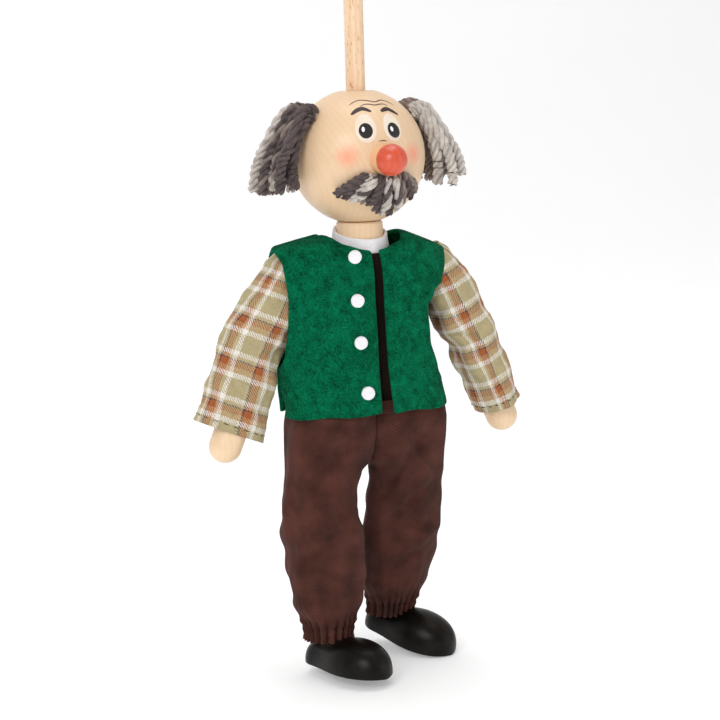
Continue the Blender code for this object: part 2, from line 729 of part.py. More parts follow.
def build_leg(figure, side, sign):
    """One leg: thigh on the hip pin, shin on the knee pin, shoe, trouser tubes and ankle elastic."""
    hip = frame(
        f"hip_{side}", (sign * LEG_SPREAD, 0, HIP_HEIGHT), (LEG_SWING[side], 0, 0), figure
    )
    thigh_length = HIP_HEIGHT - KNEE_HEIGHT
    knee = frame(f"knee_{side}", (0, 0, -thigh_length), parent=hip)
    thigh_profile = [
        *arc(THIGH_RADIUS, 0.0, math.pi / 2, 0.0, 6),
        *arc(THIGH_RADIUS, -thigh_length, 0.0, -math.pi / 2, 6),
    ]
    thigh = turned_part(f"thigh_{side}", thigh_profile, "pale_wood", hip)
    pin_room = cylinder(
        HIP_PIN_RADIUS + RUNNING_FIT,
        -THIGH_RADIUS - OVERRUN,
        THIGH_RADIUS + OVERRUN,
        "X",
        SMALL_ROUND,
    )
    boolean(thigh, cutter(pin_room, hip))
    forked(thigh, THIGH_RADIUS, thigh_length, hip)
    joint_pin(f"knee_pin_{side}", THIGH_RADIUS, hip, thigh_length)

    limb_top = THIGH_RADIUS + GAP
    ankle_height = SHOE_HEIGHT * 0.74
    shin_end = KNEE_HEIGHT - ankle_height - GAP
    peg_end = shin_end + ANKLE_PEG_DEPTH
    shin_profile = [
        (0.0, -limb_top),
        (SHIN_RADIUS, -limb_top),
        (SHIN_RADIUS, -shin_end),
        (ANKLE_PEG_RADIUS, -shin_end),
        (ANKLE_PEG_RADIUS, -peg_end),
        (0.0, -peg_end),
    ]
    shin = turned_part(f"shin_{side}", shin_profile, "pale_wood", knee)
    tongued(shin, THIGH_RADIUS, limb_top, knee)
    foot = frame(f"foot_{side}", (0, 0, -KNEE_HEIGHT), (0, 0, SHOE_TURN[side]), knee)
    shoe = part(f"shoe_{side}", shoe_mesh(), "black_paint", foot)
    seat_flat = cylinder(
        SHIN_RADIUS + GAP, ankle_height, SHOE_HEIGHT + OVERRUN, "Z", 24
    )
    boolean(shoe, cutter(seat_flat, foot))
    peg_hole = cylinder(
        ANKLE_PEG_RADIUS + GLUED_FIT,
        ankle_height - ANKLE_PEG_DEPTH - 2 * GAP,
        ankle_height + OVERRUN,
        "Z",
        24,
    )
    boolean(shoe, cutter(peg_hole, foot))

    def leg_ring(half_width, drop, slant=0.0, half_depth=TROUSER_HALF_DEPTH):
        return oval_ring(half_width, half_depth, -drop, 2.2, slant=slant, count=24)

    inside_bend = TROUSER_HALF_DEPTH - 1.0 * MM
    outside_bend = 2.6 * MM
    thigh_end = thigh_length - (inside_bend + outside_bend) / 2
    rings = [
        leg_ring(TROUSER_HALF_WIDTH, thigh_end, (inside_bend - outside_bend) / 2),
        leg_ring(TROUSER_HALF_WIDTH, 17.0 * MM),
        leg_ring(TROUSER_HALF_WIDTH * 0.72, 6.0 * MM),
    ]
    cloth(f"trouser_thigh_{side}", rings, CLOTH_THICKNESS, "brown_twill", hip)
    top_back, top_front = inside_bend, -(outside_bend - 2 * GAP)
    hem_drop = KNEE_HEIGHT - TROUSER_HEM_HEIGHT
    rings = [
        leg_ring(TROUSER_HEM_RADIUS, hem_drop, half_depth=TROUSER_HEM_RADIUS),
        leg_ring(TROUSER_HEM_RADIUS * 1.25, hem_drop - 4.5 * MM, half_depth=TROUSER_HEM_RADIUS),
        leg_ring(TROUSER_HALF_WIDTH * 0.97, hem_drop * 0.55),
        leg_ring(TROUSER_HALF_WIDTH, (top_back + top_front) / 2, -(top_back - top_front) / 2),
    ]
    cloth(f"trouser_shin_{side}", rings, CLOTH_THICKNESS, "brown_twill", knee)
    elastic = torus(SHIN_RADIUS + ELASTIC_RADIUS + GAP, ELASTIC_RADIUS)
    elastic_drop = hem_drop - ELASTIC_ABOVE_HEM
    part(f"ankle_elastic_{side}", elastic, "elastic", knee, (0, 0, -elastic_drop))


def vest_levels():
    """Outer half width, half depth and height (front and side) of the vest, from hem to neck."""
    bust = SHOULDER_HEIGHT
    seam = SHOULDER_HEIGHT + SHOULDER_SEAM_RISE
    waist = VEST_HEM_HEIGHT + (bust - VEST_HEM_HEIGHT) * 0.6
    return [
        (VEST_HEM_HALF_WIDTH, VEST_HALF_DEPTH, VEST_HEM_HEIGHT, VEST_HEM_HEIGHT),
        (VEST_HEM_HALF_WIDTH - 2.0 * MM, VEST_HALF_DEPTH - 0.5 * MM, waist, waist),
        (VEST_HEM_HALF_WIDTH + 0.2 * MM, VEST_HALF_DEPTH - 1.0 * MM, bust, bust),
        (VEST_HEM_HALF_WIDTH + 2.0 * MM, VEST_HALF_DEPTH - 1.4 * MM, seam - 5 * MM, seam - 4.8 * MM),
        (VEST_HEM_HALF_WIDTH - 11.5 * MM, VEST_HALF_DEPTH - 2.2 * MM, seam - 1.6 * MM, seam),
    ]


def vest_panel(start, end, steps):
    """The rings of one vest panel between two angles round the figure."""
    rings = []
    for half_width, half_depth, front, side in vest_levels():
        ring = []
        for step in range(steps + 1):
            angle = start + (end - start) * step / steps
            x, y = oval(half_width, half_depth, VEST_SQUARENESS, angle)
            height = front + (side - front) * math.sin(angle) ** 2
            ring.append((x, y, height))
        rings.append(ring)
    return rings


def reach_angle(distance, radius):
    """The angle at which the vest's oval has gone this far from an axis that it crosses at the radius."""
    return math.asin((distance / radius) ** (VEST_SQUARENESS / 2))


def build_vest(figure):
    """Three felt panels, front right, front left and back, with the armholes cut through them."""
    seam = reach_angle(GAP, VEST_HALF_DEPTH)
    quarter = math.pi / 2
    opening = reach_angle(VEST_OPENING / 2, VEST_HEM_HALF_WIDTH)
    panels = {
        "vest_front_right": (-quarter + seam, -opening, 12),
        "vest_front_left": (opening, quarter - seam, 12),
        "vest_back": (quarter + seam, 3 * quarter - seam, 24),
    }
    armhole_half_height = (SHOULDER_HEIGHT + SHOULDER_SEAM_RISE - VEST_HEM_HEIGHT) / 3
    holes = []
    for sign in SIDES.values():
        hole = cylinder(1.0, 0.0, 1.0, "X", 24)
        hole.transform(
            Matrix.Diagonal((sign * 15 * MM, VEST_HALF_DEPTH * 0.78, armhole_half_height, 1.0))
        )
        if sign < 0:
            hole.flip_normals()
        place = (
            sign * (VEST_HEM_HALF_WIDTH - 9 * MM),
            0,
            SHOULDER_HEIGHT + SHOULDER_SEAM_RISE - 4.2 * MM - armhole_half_height,
        )
        holes.append(cutter(hole, figure, place))
    for name, (start, end, steps) in panels.items():
        rings = vest_panel(start, end, steps)
        panel = cloth(name, rings, FELT_THICKNESS, "green_felt", figure, closed=False)
        for hole in holes:
            boolean(panel, hole)


def vest_front_y(x, height):
    """The y of the vest's front surface at a place on it."""
    levels = vest_levels()
    for low, high in zip(levels, levels[1:]):
        if low[2] <= height <= high[2]:
            share = (height - low[2]) / (high[2] - low[2])
            half_width = low[0] + (high[0] - low[0]) * share
            half_depth = low[1] + (high[1] - low[1]) * share
            inset = 1 - (abs(x) / half_width) ** VEST_SQUARENESS
            return -half_depth * inset ** (1 / VEST_SQUARENESS)
    raise ValueError("the place is above or below the vest")


def build_clothes(figure):
    """Shirt body, collar, vest with its felt buttons, trouser seat and waist elastic."""
    shirt_base = WAIST_TOP + GAP
    shirt_wide = TORSO_HALF_WIDTH + CLOTH_THICKNESS + GAP
    shirt_deep = TORSO_HALF_DEPTH + CLOTH_THICKNESS + GAP
    rings = [
        oval_ring(shirt_wide + 0.8 * MM, shirt_deep + 0.8 * MM, height, 8.0)
        for height in (shirt_base, SHOULDER_HEIGHT - 5 * MM, TORSO_TOP)
    ]
    shirt = cloth("shirt_body", rings, CLOTH_THICKNESS, "plaid_flannel", figure)
    eyelets = cylinder(
        CORD_RADIUS + 3 * GAP,
        -SHOULDER_SPREAD,
        SHOULDER_SPREAD,
        "X",
        SMALL_ROUND,
        (0, SHOULDER_HEIGHT),
    )
    boolean(shirt, cutter(eyelets, figure))

    inner = NECK_RADIUS + 1.3 * MM
    outer = inner + COLLAR_THICKNESS
    rings = [
        oval_ring(outer + COLLAR_FLARE, outer + COLLAR_FLARE, -COLLAR_HEIGHT / 2),
        oval_ring(outer, outer, COLLAR_HEIGHT / 2),
    ]
    place = {
        "location": (0, 0, TORSO_TOP + COLLAR_HEIGHT / 2 + 2.4 * MM),
        "rotation": (COLLAR_TILT, 0, 0),
    }
    cloth("collar", rings, COLLAR_THICKNESS, "white_felt", figure, **place)

    build_vest(figure)
    for number, height in enumerate(BUTTON_HEIGHTS, 1):
        back = vest_front_y(BUTTON_INSET, height) - 2 * GAP
        lean = math.atan2(
            vest_front_y(BUTTON_INSET, height + MM) - vest_front_y(BUTTON_INSET, height - MM),
            2 * MM,
        )
        button = cylinder(BUTTON_RADIUS, -BUTTON_THICKNESS, 0.0, "Y", 24)
        place = (-BUTTON_INSET, back, height)
        part(f"vest_button_{number}", button, "white_felt", figure, place, (-lean, 0, 0))

    seat_deep = VEST_HALF_DEPTH - FELT_THICKNESS - 2 * GAP
    seat_wide = VEST_HEM_HALF_WIDTH - FELT_THICKNESS - 2 * GAP
    rings = [
        oval_ring(seat_wide - 0.5 * MM, seat_deep, HIP_HEIGHT + 2 * MM, 3.0),
        oval_ring(seat_wide - 3 * MM, seat_deep - 0.2 * MM, TORSO_BASE + 1.5 * MM, 3.0),
        oval_ring(seat_wide - 3.6 * MM, seat_deep - 0.4 * MM, WAIST_TOP, 3.0),
    ]
    cloth("trouser_seat", rings, CLOTH_THICKNESS, "brown_twill", figure)


def main():
    figure = frame("figure", (0, 0, -STICK_TOP))
    clearance_ball = build_head(figure)
    build_hair(figure, clearance_ball)
    build_torso(figure)
    for side, sign in SIDES.items():
        build_arm(figure, side, sign)
        build_leg(figure, side, sign)
    build_clothes(figure)


clear_scene()
PARTS = collection("craft_stick_puppet")
CUTTERS = collection("cutters", hidden=True)
main()
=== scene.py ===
"""Looks of the craft stick puppet: a wooden doll in felt, flannel and twill, hung on a wooden stick.

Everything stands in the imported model's frame: metres, +Z up, the face looking along -Y and the
figure's left hand at +X.  Each sub-assembly is a class that builds its meshes and dresses them.
"""

import json
import logging
import math
import random
from dataclasses import dataclass, field
from enum import Enum
from typing import Callable, Sequence

import bmesh
import bpy
from mathutils import Matrix, Vector, noise


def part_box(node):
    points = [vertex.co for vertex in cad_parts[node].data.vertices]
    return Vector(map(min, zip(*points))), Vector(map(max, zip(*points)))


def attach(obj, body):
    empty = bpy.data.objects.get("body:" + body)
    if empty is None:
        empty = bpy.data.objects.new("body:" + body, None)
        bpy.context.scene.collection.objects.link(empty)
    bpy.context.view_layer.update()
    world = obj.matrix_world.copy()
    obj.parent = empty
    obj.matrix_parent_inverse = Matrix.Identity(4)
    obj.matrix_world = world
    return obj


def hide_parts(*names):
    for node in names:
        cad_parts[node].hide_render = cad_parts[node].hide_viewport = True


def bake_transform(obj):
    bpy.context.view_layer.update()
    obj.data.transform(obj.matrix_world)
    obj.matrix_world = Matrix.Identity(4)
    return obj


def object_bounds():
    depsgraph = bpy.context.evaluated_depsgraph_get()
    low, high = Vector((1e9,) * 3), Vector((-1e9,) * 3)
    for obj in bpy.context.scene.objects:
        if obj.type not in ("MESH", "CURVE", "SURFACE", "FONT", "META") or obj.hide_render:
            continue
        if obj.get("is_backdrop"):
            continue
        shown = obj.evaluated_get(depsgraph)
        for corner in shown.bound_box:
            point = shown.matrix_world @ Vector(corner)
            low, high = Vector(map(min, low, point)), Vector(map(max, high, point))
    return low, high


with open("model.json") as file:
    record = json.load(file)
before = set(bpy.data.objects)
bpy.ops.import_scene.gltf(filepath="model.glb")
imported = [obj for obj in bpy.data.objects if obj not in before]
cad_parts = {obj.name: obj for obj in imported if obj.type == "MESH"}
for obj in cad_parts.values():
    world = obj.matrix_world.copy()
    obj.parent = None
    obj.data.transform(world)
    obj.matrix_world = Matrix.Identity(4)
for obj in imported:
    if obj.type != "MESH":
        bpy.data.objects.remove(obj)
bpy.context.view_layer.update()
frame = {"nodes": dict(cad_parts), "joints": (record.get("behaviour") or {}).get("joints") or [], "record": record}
LOG = logging.getLogger("puppet")
MM = 0.001
Colour = tuple[float, float, float]
Surface = Callable[[float, float], Vector]
Curve = Sequence[tuple[float, float]]


class Side(Enum):
    """The figure's own two sides; the value is the sign of X."""

    RIGHT = -1
    LEFT = 1

    @property
    def word(self) -> str:
        """The side's name as the node names spell it."""
        return self.name.lower()


def joint_place(name: str) -> Vector:
    """Where a hinge stands.

    Args:
        name: The joint's name in the record.

    Returns:
        A point on its axis, in metres.
    """
    found = next(joint for joint in frame["joints"] if joint["name"] == name)
    return Vector(found["pos_m"])


def middle(node: str) -> Vector:
    """The middle of a node's box."""
    low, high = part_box(node)
    return (low + high) / 2


def smooth_step(low: float, high: float, value: float) -> float:
    """0 below low, 1 above high, and an even curve between them."""
    share = min(max((value - low) / (high - low), 0.0), 1.0)
    return share * share * (3.0 - 2.0 * share)


def mix(first: float, second: float, share: float) -> float:
    """The value a share of the way from the first to the second."""
    return first + (second - first) * share


def ripple(x: float, y: float, z: float) -> float:
    """A soft wave between -1 and 1 that has no creases."""
    return noise.noise(Vector((x, y, z)), noise_basis="PERLIN_NEW")


def along(points: Curve, place: float) -> float:
    """Reads a smooth curve through points.

    Args:
        points: (place, value) pairs in rising order of place.
        place: Where to read.

    Returns:
        The value there, eased between neighbours and held past the ends.
    """
    if place <= points[0][0]:
        return points[0][1]
    for (left, low), (right, high) in zip(points, points[1:]):
        if place <= right:
            return mix(low, high, smooth_step(left, right, place))
    return points[-1][1]


def through(points: Sequence[Vector], share: float) -> Vector:
    """A point on the Catmull-Rom curve through points, at a share of the way along it."""
    place = min(max(share, 0.0), 1.0) * (len(points) - 1)
    index = min(int(place), len(points) - 2)
    step = place - index
    second, third = points[index], points[index + 1]
    first = points[index - 1] if index else second * 2 - third
    fourth = points[index + 2] if index + 2 < len(points) else third * 2 - second
    return (
        second
        + (third - first) * (0.5 * step)
        + (first * 2 - second * 5 + third * 4 - fourth) * (0.5 * step**2)
        + (second * 3 - first - third * 3 + fourth) * (0.5 * step**3)
    )


def arc(
    centre: tuple[float, float], radius: float, start: float, end: float, steps: int
) -> list[tuple[float, float]]:
    """Points along part of a circle, for a turned outline.

    Args:
        centre: (radius, height) of the circle's middle.
        radius: Of the circle.
        start: Degrees above level of the first point.
        end: Degrees above level of the last point.
        steps: Stretches between the points.

    Returns:
        The (radius, height) points.
    """
    turns = [math.radians(mix(start, end, step / steps)) for step in range(steps + 1)]
    return [
        (centre[0] + radius * math.cos(turn), centre[1] + radius * math.sin(turn)) for turn in turns
    ]


def straight(radius: float, start: float, end: float, steps: int) -> list[tuple[float, float]]:
    """Points up or down a straight side of a turned outline, after its first corner."""
    return [(radius, mix(start, end, step / steps)) for step in range(1, steps + 1)]


class Piece:
    """A mesh under construction that ends up as one object at the origin."""

    def __init__(self, name: str) -> None:
        """Starts an empty mesh with a UV map."""
        self.name = name
        self.bm = bmesh.new()
        self.uv = self.bm.loops.layers.uv.new("surface")

    def wrap(
        self,
        columns: int,
        rows: int,
        surface: Surface,
        size: tuple[float, float] = (1.0, 1.0),
        closed: bool = False,
        slot: int = 0,
    ) -> list[bmesh.types.BMVert]:
        """Lays a grid over a surface.

        Args:
            columns: Faces across.
            rows: Faces along.
            surface: Gives the place of (u, v), both from 0 to 1.
            size: What the UV map spans across and along, in metres on cloth.
            closed: Whether the first and last column meet.
            slot: Material slot of the new faces.

        Returns:
            The new vertices.
        """
        made = bmesh.ops.create_grid(self.bm, x_segments=columns, y_segments=rows, size=1.0)
        verts = made["verts"]
        spot = {vert: ((vert.co.x + 1) / 2, (vert.co.y + 1) / 2) for vert in verts}
        for face in {face for vert in verts for face in vert.link_faces}:
            face.material_index = slot
            for loop in face.loops:
                u, v = spot[loop.vert]
                loop[self.uv].uv = (u * size[0], v * size[1])
        for vert, (u, v) in spot.items():
            vert.co = surface(u, v)
        if closed:
            bmesh.ops.remove_doubles(self.bm, verts=verts, dist=1e-7)
            verts = [vert for vert in verts if vert.is_valid]
        return verts

    def turn(self, profile: Curve, steps: int, place: Matrix) -> None:
        """Spins an outline round Z.

        Args:
            profile: (radius, height) points from one end to the other.
            steps: Facets round.
            place: Where the finished shape goes.
        """
        verts = [self.bm.verts.new((radius, 0.0, height)) for radius, height in profile]
        edges = [self.bm.edges.new(pair) for pair in zip(verts, verts[1:])]
        before = set(self.bm.verts) - set(verts)
        bmesh.ops.spin(
            self.bm,
            geom=verts + edges,
            cent=(0, 0, 0),
            axis=(0, 0, 1),
            angle=math.tau,
            steps=steps,
            use_merge=True,
        )
        made = [vert for vert in self.bm.verts if vert not in before]
        bmesh.ops.remove_doubles(self.bm, verts=made, dist=1e-7)
        made = [vert for vert in self.bm.verts if vert not in before]
        faces = list({face for vert in made for face in vert.link_faces})
        bmesh.ops.recalc_face_normals(self.bm, faces=faces)
        bmesh.ops.transform(self.bm, matrix=place, verts=made)

    def finish(
        self,
        materials: Sequence[bpy.types.Material],
        outward: bool = False,
        sharp: float = 40.0,
    ) -> bpy.types.Object:
        """Makes the object.

        Args:
            materials: One for each material slot.
            outward: Whether to turn all faces outwards first, for a closed shape.
            sharp: Edges steeper than this many degrees stay sharp.

        Returns:
            The object, at the origin.
        """
        if outward:
            bmesh.ops.recalc_face_normals(self.bm, faces=self.bm.faces)
        mesh = bpy.data.meshes.new(self.name)
        self.bm.to_mesh(mesh)
        self.bm.free()
        mesh.shade_smooth()
        mesh.set_sharp_from_angle(angle=math.radians(sharp))
        for material in materials:
            mesh.materials.append(material)
        made = bpy.data.objects.new(self.name, mesh)
        bpy.context.scene.collection.objects.link(made)
        LOG.info("%s: %d faces", self.name, len(mesh.polygons))
        return made


def thicken(piece: bpy.types.Object, thickness: float, soft: int = 0) -> bpy.types.Object:
    """Gives a sheet its thickness, inwards from the modelled side.

    Args:
        piece: The open sheet.
        thickness: In metres.
        soft: Subdivision levels that round the edges.

    Returns:
        The same piece.
    """
    wall = piece.modifiers.new("Thickness", "SOLIDIFY")
    wall.thickness = thickness
    wall.offset = -1.0
    wall.use_even_offset = False
    if soft:
        rounding = piece.modifiers.new("Soft edges", "SUBSURF")
        rounding.levels = soft
        rounding.render_levels = soft
    return piece


def face_away(piece: bpy.types.Object, line: Callable[[Vector], Vector]) -> None:
    """Turns a sheet's faces away from a line inside it.

    Args:
        piece: The sheet.
        line: Gives the line's point beside a place.
    """
    mesh = piece.data
    mesh.update()
    inward = sum(
        1 if face.normal.dot(face.center - line(face.center)) < 0 else -1 for face in mesh.polygons
    )
    if inward > 0:
        mesh.flip_normals()


def middle_line(place: Vector) -> Vector:
    """The point of the figure's upright middle line beside a place."""
    return Vector((0.0, 0.0, place.z))


class Graph:
    """A node tree that is filled by short calls."""

    def __init__(self, tree: bpy.types.NodeTree) -> None:
        """Keeps the tree."""
        self.tree = tree

    def add(self, kind: str, inputs: dict | None = None, **settings: object) -> bpy.types.Node:
        """Adds a node.

        Args:
            kind: The node's type name.
            inputs: Socket name or number to a value or an output socket.
            settings: Attributes of the node.

        Returns:
            The node.
        """
        node = self.tree.nodes.new(kind)
        for name, value in settings.items():
            setattr(node, name, value)
        for name, value in (inputs or {}).items():
            if isinstance(value, bpy.types.NodeSocket):
                self.tree.links.new(value, node.inputs[name])
            else:
                node.inputs[name].default_value = value
        return node

    def sum(self, operation: str, *values: object) -> bpy.types.NodeSocket:
        """A Math node's result for one, two or three values or sockets."""
        return self.add(
            "ShaderNodeMath", dict(enumerate(values)), operation=operation
        ).outputs[0]

    def blend(self, factor: object, first: object, second: object) -> bpy.types.NodeSocket:
        """Mixes two colours.

        Args:
            factor: 0 gives the first and 1 the second.
            first: A colour or socket.
            second: A colour or socket.

        Returns:
            The mixed colour.
        """
        node = self.add("ShaderNodeMix", {0: factor}, data_type="RGBA")
        for index, value in ((6, first), (7, second)):
            if isinstance(value, bpy.types.NodeSocket):
                self.tree.links.new(value, node.inputs[index])
            else:
                node.inputs[index].default_value = (*value, 1.0)
        return node.outputs[2]

    def spread(
        self, value: object, low: float, high: float, start: float = 0.0, end: float = 1.0
    ) -> bpy.types.NodeSocket:
        """Maps low..high to start..end and clamps it."""
        return self.add(
            "ShaderNodeMapRange", {0: value, 1: low, 2: high, 3: start, 4: end}
        ).outputs[0]

    def noise(self, vector: object, scale: float, detail: float = 3.0) -> bpy.types.NodeSocket:
        """A noise value over a vector."""
        return self.add(
            "ShaderNodeTexNoise", {"Vector": vector, "Scale": scale, "Detail": detail}
        ).outputs[0]

    def stretched(self, vector: object, scale: tuple[float, float, float]) -> bpy.types.NodeSocket:
        """A vector multiplied by three numbers."""
        return self.add(
            "ShaderNodeVectorMath", {0: vector, 1: scale}, operation="MULTIPLY"
        ).outputs[0]


class Group:
    """A shared effect, built once and placed in each material that uses it."""

    made: dict[str, bpy.types.NodeTree] = {}

    def __init__(self, name: str, inputs: dict[str, object], outputs: dict[str, str]) -> None:
        """Makes the group's sockets.

        Args:
            name: The effect's name.
            inputs: Socket names with their default values; the values' kinds give the sockets'.
            outputs: Socket names with "Color", "Float" or "Vector".
        """
        self.tree = bpy.data.node_groups.new(name, "ShaderNodeTree")
        face = self.tree.interface
        for socket, value in inputs.items():
            kind = "Float"
            if isinstance(value, tuple):
                kind = "Color" if len(value) == 4 else "Vector"
            made = face.new_socket(
                name=socket, in_out="INPUT", socket_type=f"NodeSocket{kind}"
            )
            made.default_value = value
        for socket, kind in outputs.items():
            face.new_socket(name=socket, in_out="OUTPUT", socket_type=f"NodeSocket{kind}")
        self.graph = Graph(self.tree)
        self.source = self.graph.add("NodeGroupInput").outputs
        self.sink = self.graph.add("NodeGroupOutput")
        Group.made[name] = self.tree

    def give(self, **values: bpy.types.NodeSocket) -> None:
        """Links results to the group's outputs."""
        for name, value in values.items():
            self.tree.links.new(value, self.sink.inputs[name])

    @staticmethod
    def place(graph: Graph, name: str, **inputs: object) -> bpy.types.Node:
        """Puts the named group into a material's graph."""
        node = graph.add("ShaderNodeGroup", node_tree=Group.made[name])
        for socket, value in inputs.items():
            if isinstance(value, bpy.types.NodeSocket):
                graph.tree.links.new(value, node.inputs[socket])
            else:
                node.inputs[socket].default_value = value
        return node


def make_wood_grain() -> None:
    """Builds the grain: stretched growth rings, short flecks and a cloudy tone."""
    grain = Group(
        "wood_grain",
        {"Place": (0.0, 0.0, 0.0), "Pale": (1, 1, 1, 1), "Dark": (0, 0, 0, 1), "Flecks": 0.5},
        {"Colour": "Color", "Height": "Float", "Mask": "Float"},
    )
    graph, source = grain.graph, grain.source
    drawn = graph.stretched(source["Place"], (1.0, 1.0, 0.09))
    rings = graph.add(
        "ShaderNodeTexWave",
        {"Vector": drawn, "Scale": 190.0, "Distortion": 5.0, "Detail": 2.0, "Detail Scale": 1.5},
    ).outputs[1]
    fleck_place = graph.stretched(source["Place"], (1.0, 1.0, 0.16))
    flecks = graph.spread(graph.noise(fleck_place, 2600.0, 2.0), 0.60, 0.70)
    flecks = graph.sum("MULTIPLY", flecks, source["Flecks"])
    cloud = graph.noise(source["Place"], 90.0)
    soft = graph.sum("MULTIPLY_ADD", rings, 0.16, graph.sum("MULTIPLY", cloud, 0.40))
    mask = graph.spread(graph.sum("ADD", soft, flecks), 0.1, 1.0)
    colour = graph.blend(mask, source["Pale"], source["Dark"])
    grain.give(Colour=colour, Height=mask, Mask=flecks)


def make_loose_fibres() -> None:
    """Builds the tangle of fine wandering fibres that lie three ways."""
    fibres = Group(
        "loose_fibres",
        {"Place": (0.0, 0.0, 0.0), "Fineness": 1.0},
        {"Mottle": "Float", "Height": "Float"},
    )
    graph, source = fibres.graph, fibres.source
    place = graph.add(
        "ShaderNodeVectorMath", {0: source["Place"], "Scale": source["Fineness"]}, operation="SCALE"
    ).outputs[0]
    drift = graph.add("ShaderNodeTexNoise", {"Vector": place, "Scale": 150.0, "Detail": 2.0})
    drift = graph.stretched(drift.outputs[1], (0.0024, 0.0024, 0.0024))
    wander = graph.add("ShaderNodeVectorMath", {0: place, 1: drift}, operation="ADD").outputs[0]
    lies = []
    for lean in (0.5, -0.6, 1.4):
        leaned = graph.add(
            "ShaderNodeVectorRotate", {"Vector": wander, "Angle": lean}, rotation_type="Y_AXIS"
        ).outputs[0]
        strands = graph.noise(graph.stretched(leaned, (5200.0, 1600.0, 620.0)), 1.0, 2.0)
        lies.append(graph.spread(strands, 0.50, 0.74))
    tangle = graph.sum("MAXIMUM", graph.sum("MAXIMUM", lies[0], lies[1]), lies[2])
    cloud = graph.spread(graph.noise(place, 330.0, 3.0), 0.30, 0.70, 0.0, 0.35)
    mottle = graph.sum("MULTIPLY_ADD", tangle, 0.65, cloud)
    fibres.give(Mottle=mottle, Height=tangle)


def make_twill_weave() -> None:
    """Builds the diagonal ribs and cross threads of woven cloth, with lint."""
    weave = Group(
        "twill_weave",
        {"UV": (0.0, 0.0, 0.0), "Pitch": 0.00045, "Fuzz": 0.2},
        {"Thread": "Float", "Height": "Float"},
    )
    graph, source = weave.graph, weave.source
    parts = graph.add("ShaderNodeSeparateXYZ", {0: source["UV"]}).outputs
    across = graph.sum("DIVIDE", parts[0], source["Pitch"])
    length = graph.sum("DIVIDE", parts[1], source["Pitch"])
    rib = graph.sum("SINE", graph.sum("MULTIPLY", graph.sum("ADD", across, length), math.pi))
    thread = graph.sum("SINE", graph.sum("MULTIPLY", length, math.tau))
    fuzz = graph.noise(source["UV"], 5200.0, 3.0)
    ribs = graph.sum("MULTIPLY_ADD", rib, 0.11, 0.5)
    height = graph.sum("MULTIPLY_ADD", thread, 0.07, ribs)
    height = graph.sum("ADD", height, graph.sum("MULTIPLY", fuzz, source["Fuzz"]))
    weave.give(Thread=ribs, Height=height)


class Finish:
    """Base of the finishes: a named material with its shader, made once."""

    def material(self) -> bpy.types.Material:
        """The finish as a material, the same one each time."""
        name = f"{self.name}_finish"
        found = bpy.data.materials.get(name)
        if found:
            return found
        made = bpy.data.materials.new(name)
        made.use_nodes = True
        graph = Graph(made.node_tree)
        shader = made.node_tree.nodes["Principled BSDF"]
        self.dress(graph, shader)
        return made

    def dress(self, graph: Graph, shader: bpy.types.Node) -> None:
        """Builds the finish's nodes; each finish has its own."""
        raise NotImplementedError

    @staticmethod
    def settle(
        graph: Graph, shader: bpy.types.Node, colour: object, rough: object, values: dict[str, object]
    ) -> None:
        """Gives the shader its colour, its roughness and its plain values.

        Args:
            graph: The material's graph.
            shader: Its Principled shader.
            colour: The socket that gives the base colour.
            rough: The socket that gives the roughness.
            values: Socket names with their values.
        """
        graph.tree.links.new(colour, shader.inputs["Base Color"])
        graph.tree.links.new(rough, shader.inputs["Roughness"])
        for name, value in values.items():
            shader.inputs[name].default_value = value

    @staticmethod
    def bump(
        graph: Graph, shader: bpy.types.Node, height: object, strength: float, depth: float
    ) -> None:
        """Adds relief.

        Args:
            graph: The material's graph.
            shader: Its Principled shader.
            height: The socket that gives the height.
            strength: From 0 to 1.
            depth: The relief's depth in metres.
        """
        node = graph.add(
            "ShaderNodeBump", {"Strength": strength, "Distance": depth, "Height": height}
        )
        graph.tree.links.new(node.outputs[0], shader.inputs["Normal"])


@dataclass(frozen=True)
class Spot:
    """A soft painted spot on the wood, such as a rouged cheek."""

    centre: tuple[float, float, float]
    radius: float
    colour: Colour
    strength: float


